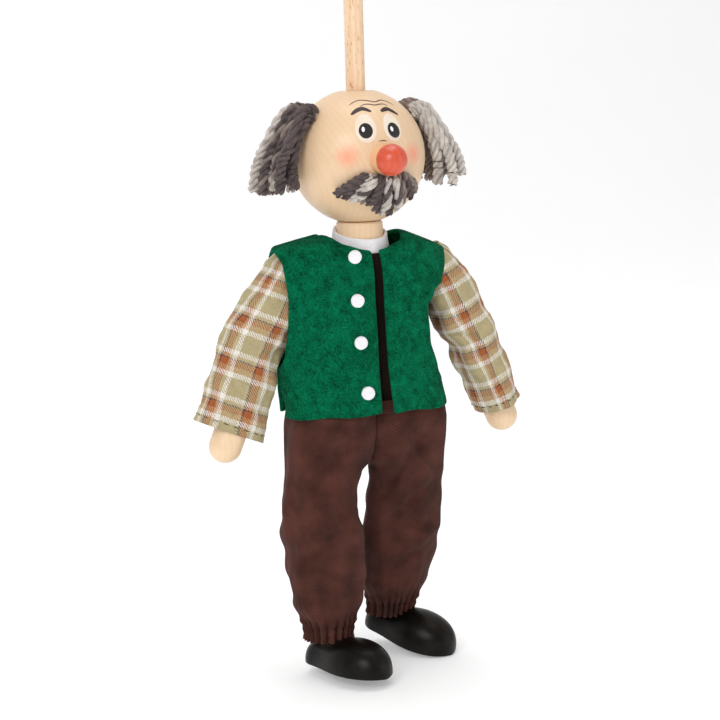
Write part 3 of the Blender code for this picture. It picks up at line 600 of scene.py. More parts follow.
@dataclass(frozen=True)
class Wood(Finish):
    """Sanded wood under a thin satin varnish.

    Attributes:
        name: The material's name.
        pale: Colour between the grain lines.
        dark: Colour of the grain lines and flecks.
        flecks: How strong the short flecks are.
        lie: Which way the grain runs.
        centre: The pattern's centre.
        roughness: Of the surface.
        spots: Soft painted spots.
    """

    name: str
    pale: Colour
    dark: Colour
    flecks: float = 0.4
    lie: tuple[float, float, float] = (0.0, 0.0, 0.0)
    centre: tuple[float, float, float] = (0.0, 0.0, 0.0)
    roughness: float = 0.42
    spots: tuple[Spot, ...] = ()

    def dress(self, graph: Graph, shader: bpy.types.Node) -> None:
        """Lays the grain, the spots and the varnish."""
        place = graph.add("ShaderNodeTexCoord").outputs["Object"]
        turned = graph.add(
            "ShaderNodeMapping",
            {"Vector": place, "Location": self.centre, "Rotation": self.lie},
            vector_type="POINT",
        ).outputs[0]
        grain = Group.place(
            graph,
            "wood_grain",
            Place=turned,
            Pale=(*self.pale, 1.0),
            Dark=(*self.dark, 1.0),
            Flecks=self.flecks,
        )
        colour = grain.outputs["Colour"]
        for spot in self.spots:
            away = graph.add(
                "ShaderNodeVectorMath", {0: place, 1: spot.centre}, operation="DISTANCE"
            ).outputs["Value"]
            speckle = graph.noise(place, 900.0, 5.0)
            reach = graph.sum("MULTIPLY_ADD", speckle, spot.radius * 0.5, away)
            mask = graph.spread(reach, spot.radius * 0.45, spot.radius * 1.25, spot.strength, 0.0)
            colour = graph.blend(mask, colour, spot.colour)
        rough = graph.spread(
            grain.outputs["Height"], 0.0, 1.0, self.roughness - 0.06, self.roughness + 0.12
        )
        glow = {"Subsurface Weight": 0.06, "Subsurface Radius": (0.0012, 0.0007, 0.0004)}
        self.settle(graph, shader, colour, rough, glow)
        self.bump(graph, shader, grain.outputs["Height"], 0.16, 0.00012)


@dataclass(frozen=True)
class Stain(Finish):
    """Wood whose front is dipped in colour; the grain shows through it.

    Attributes:
        name: The material's name.
        wood: Bare colour.
        colour: Dipped colour.
        deep: Dipped colour in the grain.
        edge_y: Where the dipped part starts; it lies in front of this.
    """

    name: str
    wood: Colour
    colour: Colour
    deep: Colour
    edge_y: float

    def dress(self, graph: Graph, shader: bpy.types.Node) -> None:
        """Lays bare wood behind and stained grain in front."""
        place = graph.add("ShaderNodeTexCoord").outputs["Object"]
        turned = graph.add(
            "ShaderNodeMapping", {"Vector": place, "Rotation": (1.2, 0.3, 0.0)}
        ).outputs[0]
        grain = Group.place(
            graph,
            "wood_grain",
            Place=turned,
            Pale=(*self.colour, 1.0),
            Dark=(*self.deep, 1.0),
            Flecks=0.35,
        )
        depth = graph.add("ShaderNodeSeparateXYZ", {0: place}).outputs[1]
        wander = graph.sum("MULTIPLY", graph.noise(place, 500.0), 0.0006)
        dipped = graph.spread(
            graph.sum("ADD", depth, wander), self.edge_y + 0.0004, self.edge_y, 0.0, 1.0
        )
        colour = graph.blend(dipped, self.wood, grain.outputs["Colour"])
        rough = graph.spread(grain.outputs["Height"], 0.0, 1.0, 0.30, 0.42)
        self.settle(graph, shader, colour, rough, {"Coat Weight": 0.25, "Coat Roughness": 0.25})
        self.bump(graph, shader, grain.outputs["Height"], 0.15, 0.0001)


@dataclass(frozen=True)
class Paint(Finish):
    """Paint with slight brush relief and rubbed places.

    Attributes:
        name: The material's name.
        colour: Main colour.
        rubbed: Colour where it is rubbed.
        roughness: Lowest roughness.
        relief: Depth of the brush marks in metres.
        coat: Clear varnish over it, from 0 to 1.
        shine: How strongly it reflects.
        worn_below: Rubbed through below this height, or None.
        bare: Colour under the paint.
    """

    name: str
    colour: Colour
    rubbed: Colour
    roughness: float = 0.3
    relief: float = 0.00003
    coat: float = 0.0
    shine: float = 0.5
    worn_below: float | None = None
    bare: Colour = (0.3, 0.2, 0.12)

    def dress(self, graph: Graph, shader: bpy.types.Node) -> None:
        """Lays the paint, its brush marks and its worn edge."""
        place = graph.add("ShaderNodeTexCoord").outputs["Object"]
        cloud = graph.noise(place, 160.0, 5.0)
        colour = graph.blend(graph.spread(cloud, 0.45, 0.75), self.colour, self.rubbed)
        if self.worn_below is not None:
            height = graph.add("ShaderNodeSeparateXYZ", {0: place}).outputs[2]
            ragged = graph.sum("MULTIPLY", graph.noise(place, 650.0, 5.0), 0.0022)
            worn = graph.spread(
                graph.sum("ADD", height, ragged),
                self.worn_below,
                self.worn_below + 0.0003,
                1.0,
                0.0,
            )
            colour = graph.blend(worn, colour, self.bare)
        marks = graph.noise(graph.stretched(place, (300.0, 300.0, 1400.0)), 1.0, 3.0)
        rough = graph.spread(marks, 0.2, 0.8, self.roughness, self.roughness + 0.14)
        gloss = {"Coat Weight": self.coat, "Specular IOR Level": self.shine}
        self.settle(graph, shader, colour, rough, gloss)
        self.bump(graph, shader, marks, 0.25, self.relief)


@dataclass(frozen=True)
class Felt(Finish):
    """Pressed felt of tangled fibres.

    Attributes:
        name: The material's name.
        deep: Colour between the fibres.
        bright: Colour of the fibres on top.
        relief: Depth of the tangle in metres.
    """

    name: str
    deep: Colour
    bright: Colour
    relief: float = 0.0003

    def dress(self, graph: Graph, shader: bpy.types.Node) -> None:
        """Lays the tangle and the soft sheen."""
        place = graph.add("ShaderNodeTexCoord").outputs["Object"]
        fibres = Group.place(graph, "loose_fibres", Place=place, Fineness=1.0)
        colour = graph.blend(fibres.outputs["Mottle"], self.deep, self.bright)
        rough = graph.spread(fibres.outputs["Height"], 0.3, 0.8, 1.0, 0.85)
        nap = {"Specular IOR Level": 0.04, "Sheen Weight": 0.01, "Sheen Roughness": 0.5}
        self.settle(graph, shader, colour, rough, nap)
        self.bump(graph, shader, fibres.outputs["Mottle"], 0.55, self.relief)


@dataclass(frozen=True)
class Twill(Finish):
    """Plain-coloured twill.

    Attributes:
        name: The material's name.
        deep: Colour of the gaps and shaded threads.
        bright: Colour of the threads on top.
        pitch: From one rib to the next, in metres.
    """

    name: str
    deep: Colour
    bright: Colour
    pitch: float = 0.0005

    def dress(self, graph: Graph, shader: bpy.types.Node) -> None:
        """Lays the diagonal ribs and the lint."""
        uv = graph.add("ShaderNodeUVMap", uv_map="surface").outputs[0]
        weave = Group.place(graph, "twill_weave", UV=uv, Pitch=self.pitch, Fuzz=0.35)
        place = graph.add("ShaderNodeTexCoord").outputs["Object"]
        cloud = graph.noise(place, 120.0, 5.0)
        both = graph.sum("MULTIPLY_ADD", cloud, 0.7, graph.sum("MULTIPLY", weave.outputs[1], 0.6))
        colour = graph.blend(graph.spread(both, 0.44, 0.92), self.deep, self.bright)
        rough = graph.spread(weave.outputs["Height"], 0.2, 1.0, 0.95, 0.75)
        nap = {"Specular IOR Level": 0.08, "Sheen Weight": 0.03, "Sheen Roughness": 0.6}
        self.settle(graph, shader, colour, rough, nap)
        self.bump(graph, shader, weave.outputs["Height"], 0.4, 0.00006)


@dataclass(frozen=True)
class Stripe:
    """One run of thread of a plaid: where it starts within the repeat, and its colour."""

    start: float
    colour: Colour


@dataclass(frozen=True)
class Plaid(Finish):
    """Brushed flannel with a plaid of warp and weft stripes.

    Attributes:
        name: The material's name.
        repeat: The plaid's repeat across and along, in metres.
        warp: Stripes that run along.
        weft: Stripes that run across.
    """

    name: str
    repeat: tuple[float, float]
    warp: tuple[Stripe, ...]
    weft: tuple[Stripe, ...]

    @staticmethod
    def ramp(graph: Graph, place: object, stripes: Sequence[Stripe]) -> bpy.types.NodeSocket:
        """A band of colours read at a place from 0 to 1."""
        node = graph.add("ShaderNodeValToRGB", {0: place})
        band = node.color_ramp
        band.interpolation = "CONSTANT"
        band.elements.remove(band.elements[1])
        band.elements[0].position = stripes[0].start
        band.elements[0].color = (*stripes[0].colour, 1.0)
        for stripe in stripes[1:]:
            band.elements.new(stripe.start).color = (*stripe.colour, 1.0)
        return node.outputs[0]

    def dress(self, graph: Graph, shader: bpy.types.Node) -> None:
        """Weaves the two sets of stripes and brushes them soft."""
        uv = graph.add("ShaderNodeUVMap", uv_map="surface").outputs[0]
        blur = graph.add("ShaderNodeTexNoise", {"Vector": uv, "Scale": 2600.0, "Detail": 3.0})
        blur = graph.add(
            "ShaderNodeVectorMath", {0: blur.outputs[1], 1: (0.5, 0.5, 0.5)}, operation="SUBTRACT"
        ).outputs[0]
        blur = graph.stretched(blur, (0.0010, 0.0010, 0.0))
        moved = graph.add("ShaderNodeVectorMath", {0: uv, 1: blur}, operation="ADD").outputs[0]
        parts = graph.add("ShaderNodeSeparateXYZ", {0: moved}).outputs
        places = [
            graph.sum("FRACT", graph.sum("DIVIDE", parts[axis], self.repeat[axis]))
            for axis in (0, 1)
        ]
        warp = self.ramp(graph, places[0], self.warp)
        weft = self.ramp(graph, places[1], self.weft)
        threads = graph.add("ShaderNodeSeparateXYZ", {0: uv}).outputs
        diagonal = graph.sum("ADD", threads[0], threads[1])
        over = graph.sum("SINE", graph.sum("MULTIPLY", diagonal, math.tau / 0.0009))
        fuzz = graph.noise(uv, 3000.0, 4.0)
        over = graph.spread(graph.sum("MULTIPLY_ADD", over, 0.18, fuzz), 0.30, 0.70)
        colour = graph.blend(over, warp, weft)
        place = graph.add("ShaderNodeTexCoord").outputs["Object"]
        fibres = Group.place(graph, "loose_fibres", Place=place, Fineness=1.3)
        shade = graph.spread(fibres.outputs["Mottle"], 0.0, 1.0, 0.80, 1.10)
        specks = graph.spread(graph.noise(place, 2100.0, 2.0), 0.64, 0.70, 1.0, 0.62)
        shade = graph.sum("MULTIPLY", shade, specks)
        colour = graph.add(
            "ShaderNodeVectorMath", {0: colour, "Scale": shade}, operation="SCALE"
        ).outputs[0]
        rough = graph.spread(fuzz, 0.3, 0.7, 1.0, 0.88)
        nap = {"Specular IOR Level": 0.15, "Sheen Weight": 0.05, "Sheen Roughness": 0.5}
        self.settle(graph, shader, colour, rough, nap)
        relief = graph.sum("MULTIPLY_ADD", over, 0.4, fibres.outputs["Height"])
        self.bump(graph, shader, relief, 0.55, 0.00022)


@dataclass(frozen=True)
class Yarn(Finish):
    """Soft spun yarn; the fine lines follow the ply along its UV map.

    Attributes:
        name: The material's name.
        deep: Colour in the grooves.
        bright: Colour on top.
    """

    name: str
    deep: Colour
    bright: Colour

    def dress(self, graph: Graph, shader: bpy.types.Node) -> None:
        """Lays the fibres of the ply at a slant."""
        uv = graph.add("ShaderNodeUVMap", uv_map="surface").outputs[0]
        slant = graph.add(
            "ShaderNodeMapping", {"Vector": uv, "Rotation": (0.0, 0.0, 0.6)}
        ).outputs[0]
        lines = graph.noise(graph.stretched(slant, (9000.0, 900.0, 1.0)), 1.0, 3.0)
        place = graph.add("ShaderNodeTexCoord").outputs["Object"]
        cloud = graph.noise(place, 420.0, 4.0)
        both = graph.sum("MULTIPLY_ADD", cloud, 0.6, graph.sum("MULTIPLY", lines, 0.6))
        colour = graph.blend(graph.spread(both, 0.40, 0.78), self.deep, self.bright)
        rough = graph.spread(lines, 0.3, 0.7, 0.95, 0.8)
        nap = {"Specular IOR Level": 0.2, "Sheen Weight": 0.2}
        self.settle(graph, shader, colour, rough, nap)
        self.bump(graph, shader, lines, 0.5, 0.00018)


@dataclass(frozen=True)
class Wire(Finish):
    """Drawn steel wire with fine lengthwise marks."""

    name: str = "drawn_steel"
    colour: Colour = (0.55, 0.55, 0.56)

    def dress(self, graph: Graph, shader: bpy.types.Node) -> None:
        """Lays the drawing marks."""
        place = graph.add("ShaderNodeTexCoord").outputs["Object"]
        marks = graph.noise(graph.stretched(place, (150.0, 4000.0, 4000.0)), 1.0, 2.0)
        colour = graph.blend(marks, self.colour, (0.35, 0.34, 0.34))
        rough = graph.spread(marks, 0.2, 0.8, 0.25, 0.5)
        self.settle(graph, shader, colour, rough, {"Metallic": 1.0})
        self.bump(graph, shader, marks, 0.2, 0.00002)


@dataclass(frozen=True)
class Floor(Finish):
    """Matt white board."""

    name: str = "floor_board"
    colour: Colour = (0.9, 0.9, 0.9)

    def dress(self, graph: Graph, shader: bpy.types.Node) -> None:
        """Lays a faint unevenness."""
        place = graph.add("ShaderNodeTexCoord").outputs["Object"]
        cloud = graph.noise(place, 8.0)
        graph.tree.links.new(
            graph.blend(cloud, self.colour, (0.88, 0.88, 0.88)), shader.inputs["Base Color"]
        )
        shader.inputs["Roughness"].default_value = 0.9
        shader.inputs["Emission Color"].default_value = (1.0, 1.0, 1.0, 1.0)
        shader.inputs["Emission Strength"].default_value = 0.22


def linear(red: int, green: int, blue: int) -> Colour:
    """A colour as the shaders want it, from screen values of 0 to 255."""
    return tuple(
        (part / 255 / 12.92) if part <= 10 else ((part / 255 + 0.055) / 1.055) ** 2.4
        for part in (red, green, blue)
    )


@dataclass
class Ball:
    """The head ball's place and size, read from the frame."""

    radius: float = 0.0
    centre: Vector = field(default_factory=Vector)
    top: float = 0.0
    base: float = 0.0

    def __post_init__(self) -> None:
        """Reads the ball and the nose peg, which lies level through its middle."""
        low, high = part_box("head_ball")
        self.radius = (high.x - low.x) / 2
        self.centre = Vector((0.0, 0.0, middle("nose_peg").z))
        self.base, self.top = low.z, high.z

    def at(self, turn: float, rise: float, lift: float = 0.0) -> Vector:
        """A place on the ball.

        Args:
            turn: Degrees from the nose towards the figure's left.
            rise: Degrees above the level of the nose.
            lift: Metres off the surface.

        Returns:
            The place, in the frame.
        """
        side, up = math.radians(turn), math.radians(rise)
        flat = math.cos(up)
        way = Vector((math.sin(side) * flat, -math.cos(side) * flat, math.sin(up)))
        return self.centre + way * (self.radius + lift)


BALL = Ball()
PALE_WOOD = linear(240, 212, 178)
DARK_WOOD = linear(214, 172, 126)


@dataclass
class Stick:
    """The wooden stick that the puppet hangs on."""

    radius: float = 3.0 * MM
    chamfer: float = 0.6 * MM

    def build(self) -> None:
        """Turns the stick with its softened end."""
        low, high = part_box("guide_stick")
        piece = Piece("stick")
        profile = [(0.0, high.z), (self.radius - self.chamfer, high.z)]
        corner = (self.radius - self.chamfer, high.z - self.chamfer)
        profile += arc(corner, self.chamfer, 60, 0, 2)
        profile += straight(self.radius, corner[1], low.z, 24)
        profile.append((0.0, low.z))
        piece.turn(profile, 40, Matrix.Identity(4))
        beech = Wood(
            "beech_stick",
            linear(243, 214, 180),
            linear(196, 128, 76),
            flecks=0.75,
            centre=(0.003, 0.001, 0.0),
            roughness=0.45,
        )
        made = piece.finish([beech.material()], outward=True)
        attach(made, "head")
        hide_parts("guide_stick")


@dataclass
class Head:
    """The turned ball with its nose, painted face and rouged cheeks."""

    nose_radius: float = 4.85 * MM
    nose_reach: float = 30.7 * MM
    nose_seat: float = 20.3 * MM
    stain_edge: float = -25.3 * MM
    paint: float = 0.05 * MM
    bore: float = 3.1 * MM
    cheek: float = 4.6 * MM

    def build(self) -> None:
        """Builds the ball, the nose and every painted mark."""
        self.build_ball()
        self.build_nose()
        white = Paint("eye_white", linear(236, 222, 204), linear(228, 211, 190), 0.40)
        black = Paint("eye_black", linear(24, 20, 20), linear(38, 30, 28), 0.22, coat=0.4)
        glint = Paint("eye_glint", linear(255, 255, 255), linear(246, 246, 246), 0.2)
        # Brown line paint for the printed forehead lines, and also for the painted shade along the top of the
        # nose.
        line = Paint("drawn_line", linear(70, 42, 28), linear(104, 70, 50), 0.5)
        brow = Paint("brow_paint", linear(34, 22, 18), linear(62, 40, 30), 0.45)
        self.oval("eye_white_right", -14.8, 27.3, 9.4, 13.2, 1, white, tilt=-5.0)
        self.oval("eye_white_left", 12.3, 27.2, 8.9, 13.0, 1, white, tilt=7.0)
        self.oval("pupil_right", -15.0, 24.6, 6.2, 6.9, 2, black)
        self.oval("pupil_left", 12.6, 24.0, 6.1, 6.9, 2, black)
        self.oval("glint_right", -17.3, 25.7, 1.4, 2.3, 3, glint)
        self.oval("glint_left", 10.6, 25.0, 1.4, 2.3, 3, glint)
        self.stroke("brow_right", [(-28.8, 40.0), (-22.5, 44.4), (-15.4, 46.2), (-6.1, 42.8)], 4.3, brow)
        self.stroke("brow_left", [(5.8, 42.4), (11.5, 44.3), (17.5, 44.3), (26.8, 38.1)], 4.3, brow)
        high = [(-32.7, 50.7), (-27, 54.3), (-20.0, 56.8), (-13, 57), (-6.1, 56.1), (4.7, 54.0)]
        high += [(13.0, 55.7), (20.2, 55.6), (27.0, 52.6), (33.0, 48.3)]
        self.stroke("forehead_line_high", high, 1.15, line)
        low = [(-18.2, 49.1), (-11.2, 51.4), (-4.0, 51.1), (2.0, 50.0), (9.0, 50.8), (15.6, 50.6)]
        low.append((20.0, 48.0))
        self.stroke("forehead_line_low", low, 1.15, line)
        # A thin dark line hugging the top of the nose where it meets the ball: painted shade, not a printed line.
        self.stroke("nose_bridge_line", [(-4.4, 15.0), (0.0, 15.5), (3.1, 14.7)], 0.8, line)

    def build_ball(self) -> None:
        """Turns the ball with its flats."""
        low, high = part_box("head_ball")
        start, end = (
            math.degrees(math.asin((level - BALL.centre.z) / BALL.radius)) for level in (high.z, low.z)
        )
        profile = [(self.bore, low.z), (self.bore, high.z)]
        profile += arc((0.0, BALL.centre.z), BALL.radius, start, end, 72)
        profile.append((self.bore, low.z))
        piece = Piece("head")
        piece.turn(profile, 96, Matrix.Identity(4))
        cheeks = tuple(
            Spot(tuple(BALL.at(turn, rise)), self.cheek, linear(244, 138, 108), 0.62)
            for turn, rise in ((-31.5, 3.8), (30.8, 2.3))
        )
        maple = Wood(
            "turned_maple",
            linear(232, 200, 164),
            linear(216, 182, 144),
            flecks=0.22,
            lie=(0.1, 0.35, 0.0),
            spots=cheeks,
            roughness=0.4,
        )
        made = piece.finish([maple.material()], outward=True)
        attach(made, "head")
        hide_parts("head_ball")

    def build_nose(self) -> None:
        """Turns the nose with its round front."""
        front = self.nose_reach - self.nose_radius
        profile = [(0.0, self.nose_seat), (self.nose_radius, self.nose_seat)]
        profile += straight(self.nose_radius, self.nose_seat, front, 6)
        profile += arc((0.0, front), self.nose_radius, 0, 90, 20)[1:]
        piece = Piece("nose")
        place = Matrix.Translation(BALL.centre) @ Matrix.Rotation(math.pi / 2, 4, "X")
        piece.turn(profile, 48, place)
        stain = Stain(
            "stained_nose",
            linear(232, 178, 132),
            linear(222, 88, 54),
            linear(172, 50, 28),
            self.stain_edge,
        )
        made = piece.finish([stain.material()], outward=True)
        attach(made, "head")
        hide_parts("nose_bead")

    def oval(
        self,
        name: str,
        turn: float,
        rise: float,
        wide: float,
        high: float,
        coat: int,
        finish: Paint,
        tilt: float = 0.0,
    ) -> None:
        """Paints an oval on the ball.

        Args:
            name: The piece's name.
            turn: Its middle, degrees from the nose.
            rise: Its middle, degrees above the nose.
            wide: Half width in degrees.
            high: Half height in degrees.
            coat: Which coat of paint it is, counted from the wood.
            finish: Its paint.
            tilt: Degrees that its top leans towards the figure's left.
        """
        piece = Piece(name)
        lean = math.radians(tilt)

        def surface(u: float, v: float) -> Vector:
            angle = math.tau * u
            reach = math.sin(min(v, 1.0) * math.pi / 2)
            side = wide * math.cos(angle) * reach
            up = high * math.sin(angle) * reach
            side, up = (
                side * math.cos(lean) + up * math.sin(lean),
                up * math.cos(lean) - side * math.sin(lean),
            )
            edge = smooth_step(1.0, 0.82, v)
            lift = self.paint * (0.25 + 0.75 * edge) * coat
            return BALL.at(turn + side / math.cos(math.radians(rise)) ** 0.5, rise + up, lift)

        piece.wrap(40, 14, surface, (wide * 0.0004, high * 0.0004), closed=True)
        made = piece.finish([finish.material()])
        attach(made, "head")

    def stroke(self, name: str, points: Curve, wide: float, finish: Paint) -> None:
        """Paints a tapering brush stroke through places on the ball.

        Args:
            name: The piece's name.
            points: (turn, rise) places in degrees.
            wide: Half width at its middle, in degrees.
            finish: Its paint.
        """
        piece = Piece(name)
        route = [Vector((turn, rise, 0.0)) for turn, rise in points]

        def surface(u: float, v: float) -> Vector:
            here = through(route, v)
            ahead = through(route, min(v + 0.02, 1.0)) - through(route, max(v - 0.02, 0.0))
            shrink = math.cos(math.radians(here.y))
            ahead.x *= shrink
            ahead.normalize()
            taper = math.sqrt(max(math.sin(math.pi * min(max(v, 0.0), 1.0)), 0.0))
            across = (u - 0.5) * wide * (0.25 + 0.75 * taper)
            return BALL.at(
                here.x - ahead.y * across / shrink, here.y + ahead.x * across, self.paint * 1.2
            )

        piece.wrap(3, 64, surface)
        made = piece.finish([finish.material()])
        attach(made, "head")


@dataclass
class YarnStrand:
    """One strand of thick yarn: three plies laid up round each other.

    Attributes:
        route: The places it passes through.
        girth: The strand's radius in metres.
        lay: Length of one turn of the plies.
        shades: The material slot of each ply.
    """

    route: list[Vector]
    girth: float = 1.55 * MM
    lay: float = 7.5 * MM
    shades: tuple[int, int, int] = (0, 0, 1)

    def lay_into(self, piece: Piece, seed: int) -> None:
        """Adds the strand's plies to a piece.

        Args:
            piece: The mesh under construction.
            seed: Sets the phase of the lay and the fray at its end.
        """
        chance = random.Random(seed)
        length = sum((b - a).length for a, b in zip(self.route, self.route[1:]))
        rows = max(int(length / (0.42 * MM)), 8)
        phase = chance.uniform(0, math.tau)
        turns = length / self.lay
        fray = chance.uniform(0.10, 0.45)
        for ply, shade in enumerate(self.shades):

            def surface(u: float, v: float, ply: int = ply) -> Vector:
                here = through(self.route, v)
                ahead = through(self.route, min(v + 0.01, 1.0)) - through(
                    self.route, max(v - 0.01, 0.0)
                )
                ahead.normalize()
                side = Vector((0, 0, 1)).cross(ahead)
                if side.length < 0.05:
                    side = Vector((0, 1, 0)).cross(ahead)
                side.normalize()
                up = ahead.cross(side)
                lay = phase + math.tau * (turns * v + ply / 3)
                loose = 1.0 + fray * smooth_step(0.86, 1.0, v)
                offset = self.girth * 0.54 * loose
                centre = here + (side * math.cos(lay) + up * math.sin(lay)) * offset
                ply_radius = self.girth * 0.56
                ends = min(v, 1 - v) * length / (0.9 * MM)
                ply_radius *= math.sqrt(min(max(ends, 0.0), 1.0)) if ends < 1 else 1.0
                angle = math.tau * u
                swell = 1.0 + 0.10 * math.sin(v * 61 + ply * 2.1 + seed)
                out = side * math.cos(angle) + up * math.sin(angle)
                return centre + out * max(ply_radius * swell, 0.01 * MM)

            piece.wrap(
                8, rows, surface, (math.tau * self.girth * 0.5, length), closed=True, slot=shade
            )


@dataclass
class Hair:
    """Side tufts and moustache of cut yarn ends."""

    light: Yarn = field(
        default_factory=lambda: Yarn("yarn_light", linear(150, 142, 136), linear(222, 214, 206))
    )
    middle: Yarn = field(
        default_factory=lambda: Yarn("yarn_middle", linear(96, 84, 80), linear(160, 144, 134))
    )
    dark: Yarn = field(
        default_factory=lambda: Yarn("yarn_dark", linear(48, 40, 42), linear(106, 92, 90))
    )

    def materials(self) -> list[bpy.types.Material]:
        """The three shades in slot order."""
        return [self.light.material(), self.middle.material(), self.dark.material()]

    def build(self) -> None:
        """Builds both tufts and the moustache."""
        self.build_tuft(Side.RIGHT)
        self.build_tuft(Side.LEFT)
        self.build_moustache()

    def build_tuft(self, side: Side) -> None:
        """Lays the strands of one side tuft, from the glued seam outwards and down.

        Args:
            side: Which side of the head.
        """
        sign = side.value
        chance = random.Random(11 if side is Side.RIGHT else 23)
        piece = Piece(f"hair_{side.word}")
        layers = ((0.0, 7, 1.0), (0.45, 6, 0.95), (0.95, 5, 0.84))
        count = 0
        for layer, amount, length in layers:
            for number in range(amount):
                share = (number + 0.5 * chance.random()) / (amount - 0.5)
                back = mix(-21.0, 62.0, share)
                turn = sign * (90.0 + back)
                rise = 36.0 + 7.0 * layer - abs(back) * 0.06 + chance.uniform(-2.5, 2.5)
                root = BALL.at(turn, rise, 0.8 * MM)
                away = Vector((sign, 0, 0)) + Vector((0, math.sin(math.radians(back)) * 0.9, 0))
                away.normalize()
                low = BALL.at(turn, 10.0 + chance.uniform(-4, 4), (3.0 + 3.6 * layer) * MM)
                low += away * chance.uniform(0.2, 2.0) * MM
                drop = (11.0 + 7.0 * chance.random()) * MM * length
                tip = low + away * (1.2 + 3.0 * layer) * MM - Vector((0, 0, drop))
                tip += Vector((0, chance.uniform(-1.2, 1.2), 0)) * MM
                crest = BALL.at(turn, (rise + 10) / 2 + 8, (2.6 + 2.9 * layer) * MM)
                order = "22010210" if side is Side.RIGHT else "00122101"
                shade = int(order[min(int(share * 8), 7)])
                if chance.random() < 0.2 * layer:
                    shade = 0
                shades = (shade, shade, (shade, 1)[number % 2])
                strand = YarnStrand([root, crest, low, (low + tip) / 2 + away * MM, tip], shades=shades)
                strand.lay_into(piece, count * 7 + 3)
                count += 1
        made = piece.finish(self.materials())
        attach(made, "head")
        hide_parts(f"hair_tuft_{side.word}")

    def build_moustache(self) -> None:
        """Fans short strands out from under the nose."""
        piece = Piece("yarn_moustache")
        chance = random.Random(5)
        ends = (
            (-44.0, -27.0, 2), (-37.0, -30.0, 2), (-30.0, -33.0, 0), (-23.0, -34.0, 1),
            (-15.0, -37.0, 2), (-7.0, -43.0, 2), (0.0, -46.0, 0), (8.0, -46.0, 2),
            (15.0, -42.0, 0), (22.0, -38.0, 1), (30.0, -33.0, 2), (36.0, -28.0, 1),
        )
        for number, (turn, rise, shade) in enumerate(ends):
            root_turn = turn * 0.36
            hang = 1.0 + 3.0 * smooth_step(-36.0, -56.0, rise)
            root = BALL.at(root_turn, -11.5, 1.2 * MM)
            swell = BALL.at(mix(root_turn, turn, 0.5), mix(-11.5, rise, 0.42), 2.4 * MM)
            tip = BALL.at(turn, rise, (hang + chance.uniform(0.2, 1.2)) * MM)
            shades = (shade, shade, shade)
            strand = YarnStrand([root, swell, tip], girth=1.35 * MM, shades=shades)
            strand.lay_into(piece, number * 5 + 1)
        for number, (turn, rise, shade) in enumerate(ends[2:10:2]):
            root = BALL.at(turn * 0.3, -13.0, 3.0 * MM)
            swell = BALL.at(turn * 0.6, mix(-13.0, rise, 0.45), 4.4 * MM)
            tip = BALL.at(turn * 0.8, rise + 7.0, 4.4 * MM)
            strand = YarnStrand([root, swell, tip], girth=1.3 * MM, shades=(shade, 2, shade))
            strand.lay_into(piece, number * 9 + 2)
        made = piece.finish(self.materials())
        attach(made, "head")
        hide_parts("moustache")


GREEN_FELT = Felt("green_felt", linear(0, 46, 28), linear(6, 136, 92), 0.00045)
WHITE_FELT = Felt("white_felt", linear(232, 230, 236), linear(254, 254, 255), 0.00025)
TWILL = Twill("brown_twill", linear(12, 5, 4), linear(88, 51, 43))
# The shirt body's near-black cloth is painted shade: the plaid shirt seen in shadow through the vest's opening.
SHIRT_SHADE_CLOTH = Twill("dark_trunk_cloth", linear(10, 6, 5), linear(34, 24, 18))
BEIGE = linear(202, 182, 144)
OLIVE = linear(186, 172, 132)
WHITE_THREAD = linear(244, 238, 230)
RUST = linear(172, 98, 56)
NAVY = linear(70, 66, 80)
TAN = linear(196, 154, 112)
FLANNEL = Plaid(
    "plaid_flannel",
    (13.6 * MM, 13.6 * MM),
    (
        Stripe(0.0, OLIVE),
        Stripe(0.42, WHITE_THREAD),
        Stripe(0.52, BEIGE),
        Stripe(0.59, RUST),
        Stripe(0.76, NAVY),
        Stripe(0.81, BEIGE),
        Stripe(0.89, WHITE_THREAD),
    ),
    (
        Stripe(0.0, OLIVE),
        Stripe(0.40, WHITE_THREAD),
        Stripe(0.51, BEIGE),
        Stripe(0.58, NAVY),
        Stripe(0.62, RUST),
        Stripe(0.76, TAN),
        Stripe(0.88, WHITE_THREAD),
    ),
)
PLAIN_WOOD = Wood("plain_wood", linear(238, 208, 172), linear(220, 186, 146), flecks=0.15)
SHOE_BLACK = linear(9, 7, 6)
SHOE_BROWN = linear(30, 23, 17)


@dataclass
class Figure:
    """The level just under the soles that heights are measured from, read from the frame."""

    knee_height: float = 47.0 * MM
    sole: float = 0.0

    def __post_init__(self) -> None:
        """Reads the level from the straight leg's knee."""
        self.sole = joint_place("knee_bend_right").z - self.knee_height

    def up(self, millimetres: float) -> float:
        """The z of a height above the sole, given in millimetres."""
        return self.sole + millimetres * MM


FIGURE = Figure()


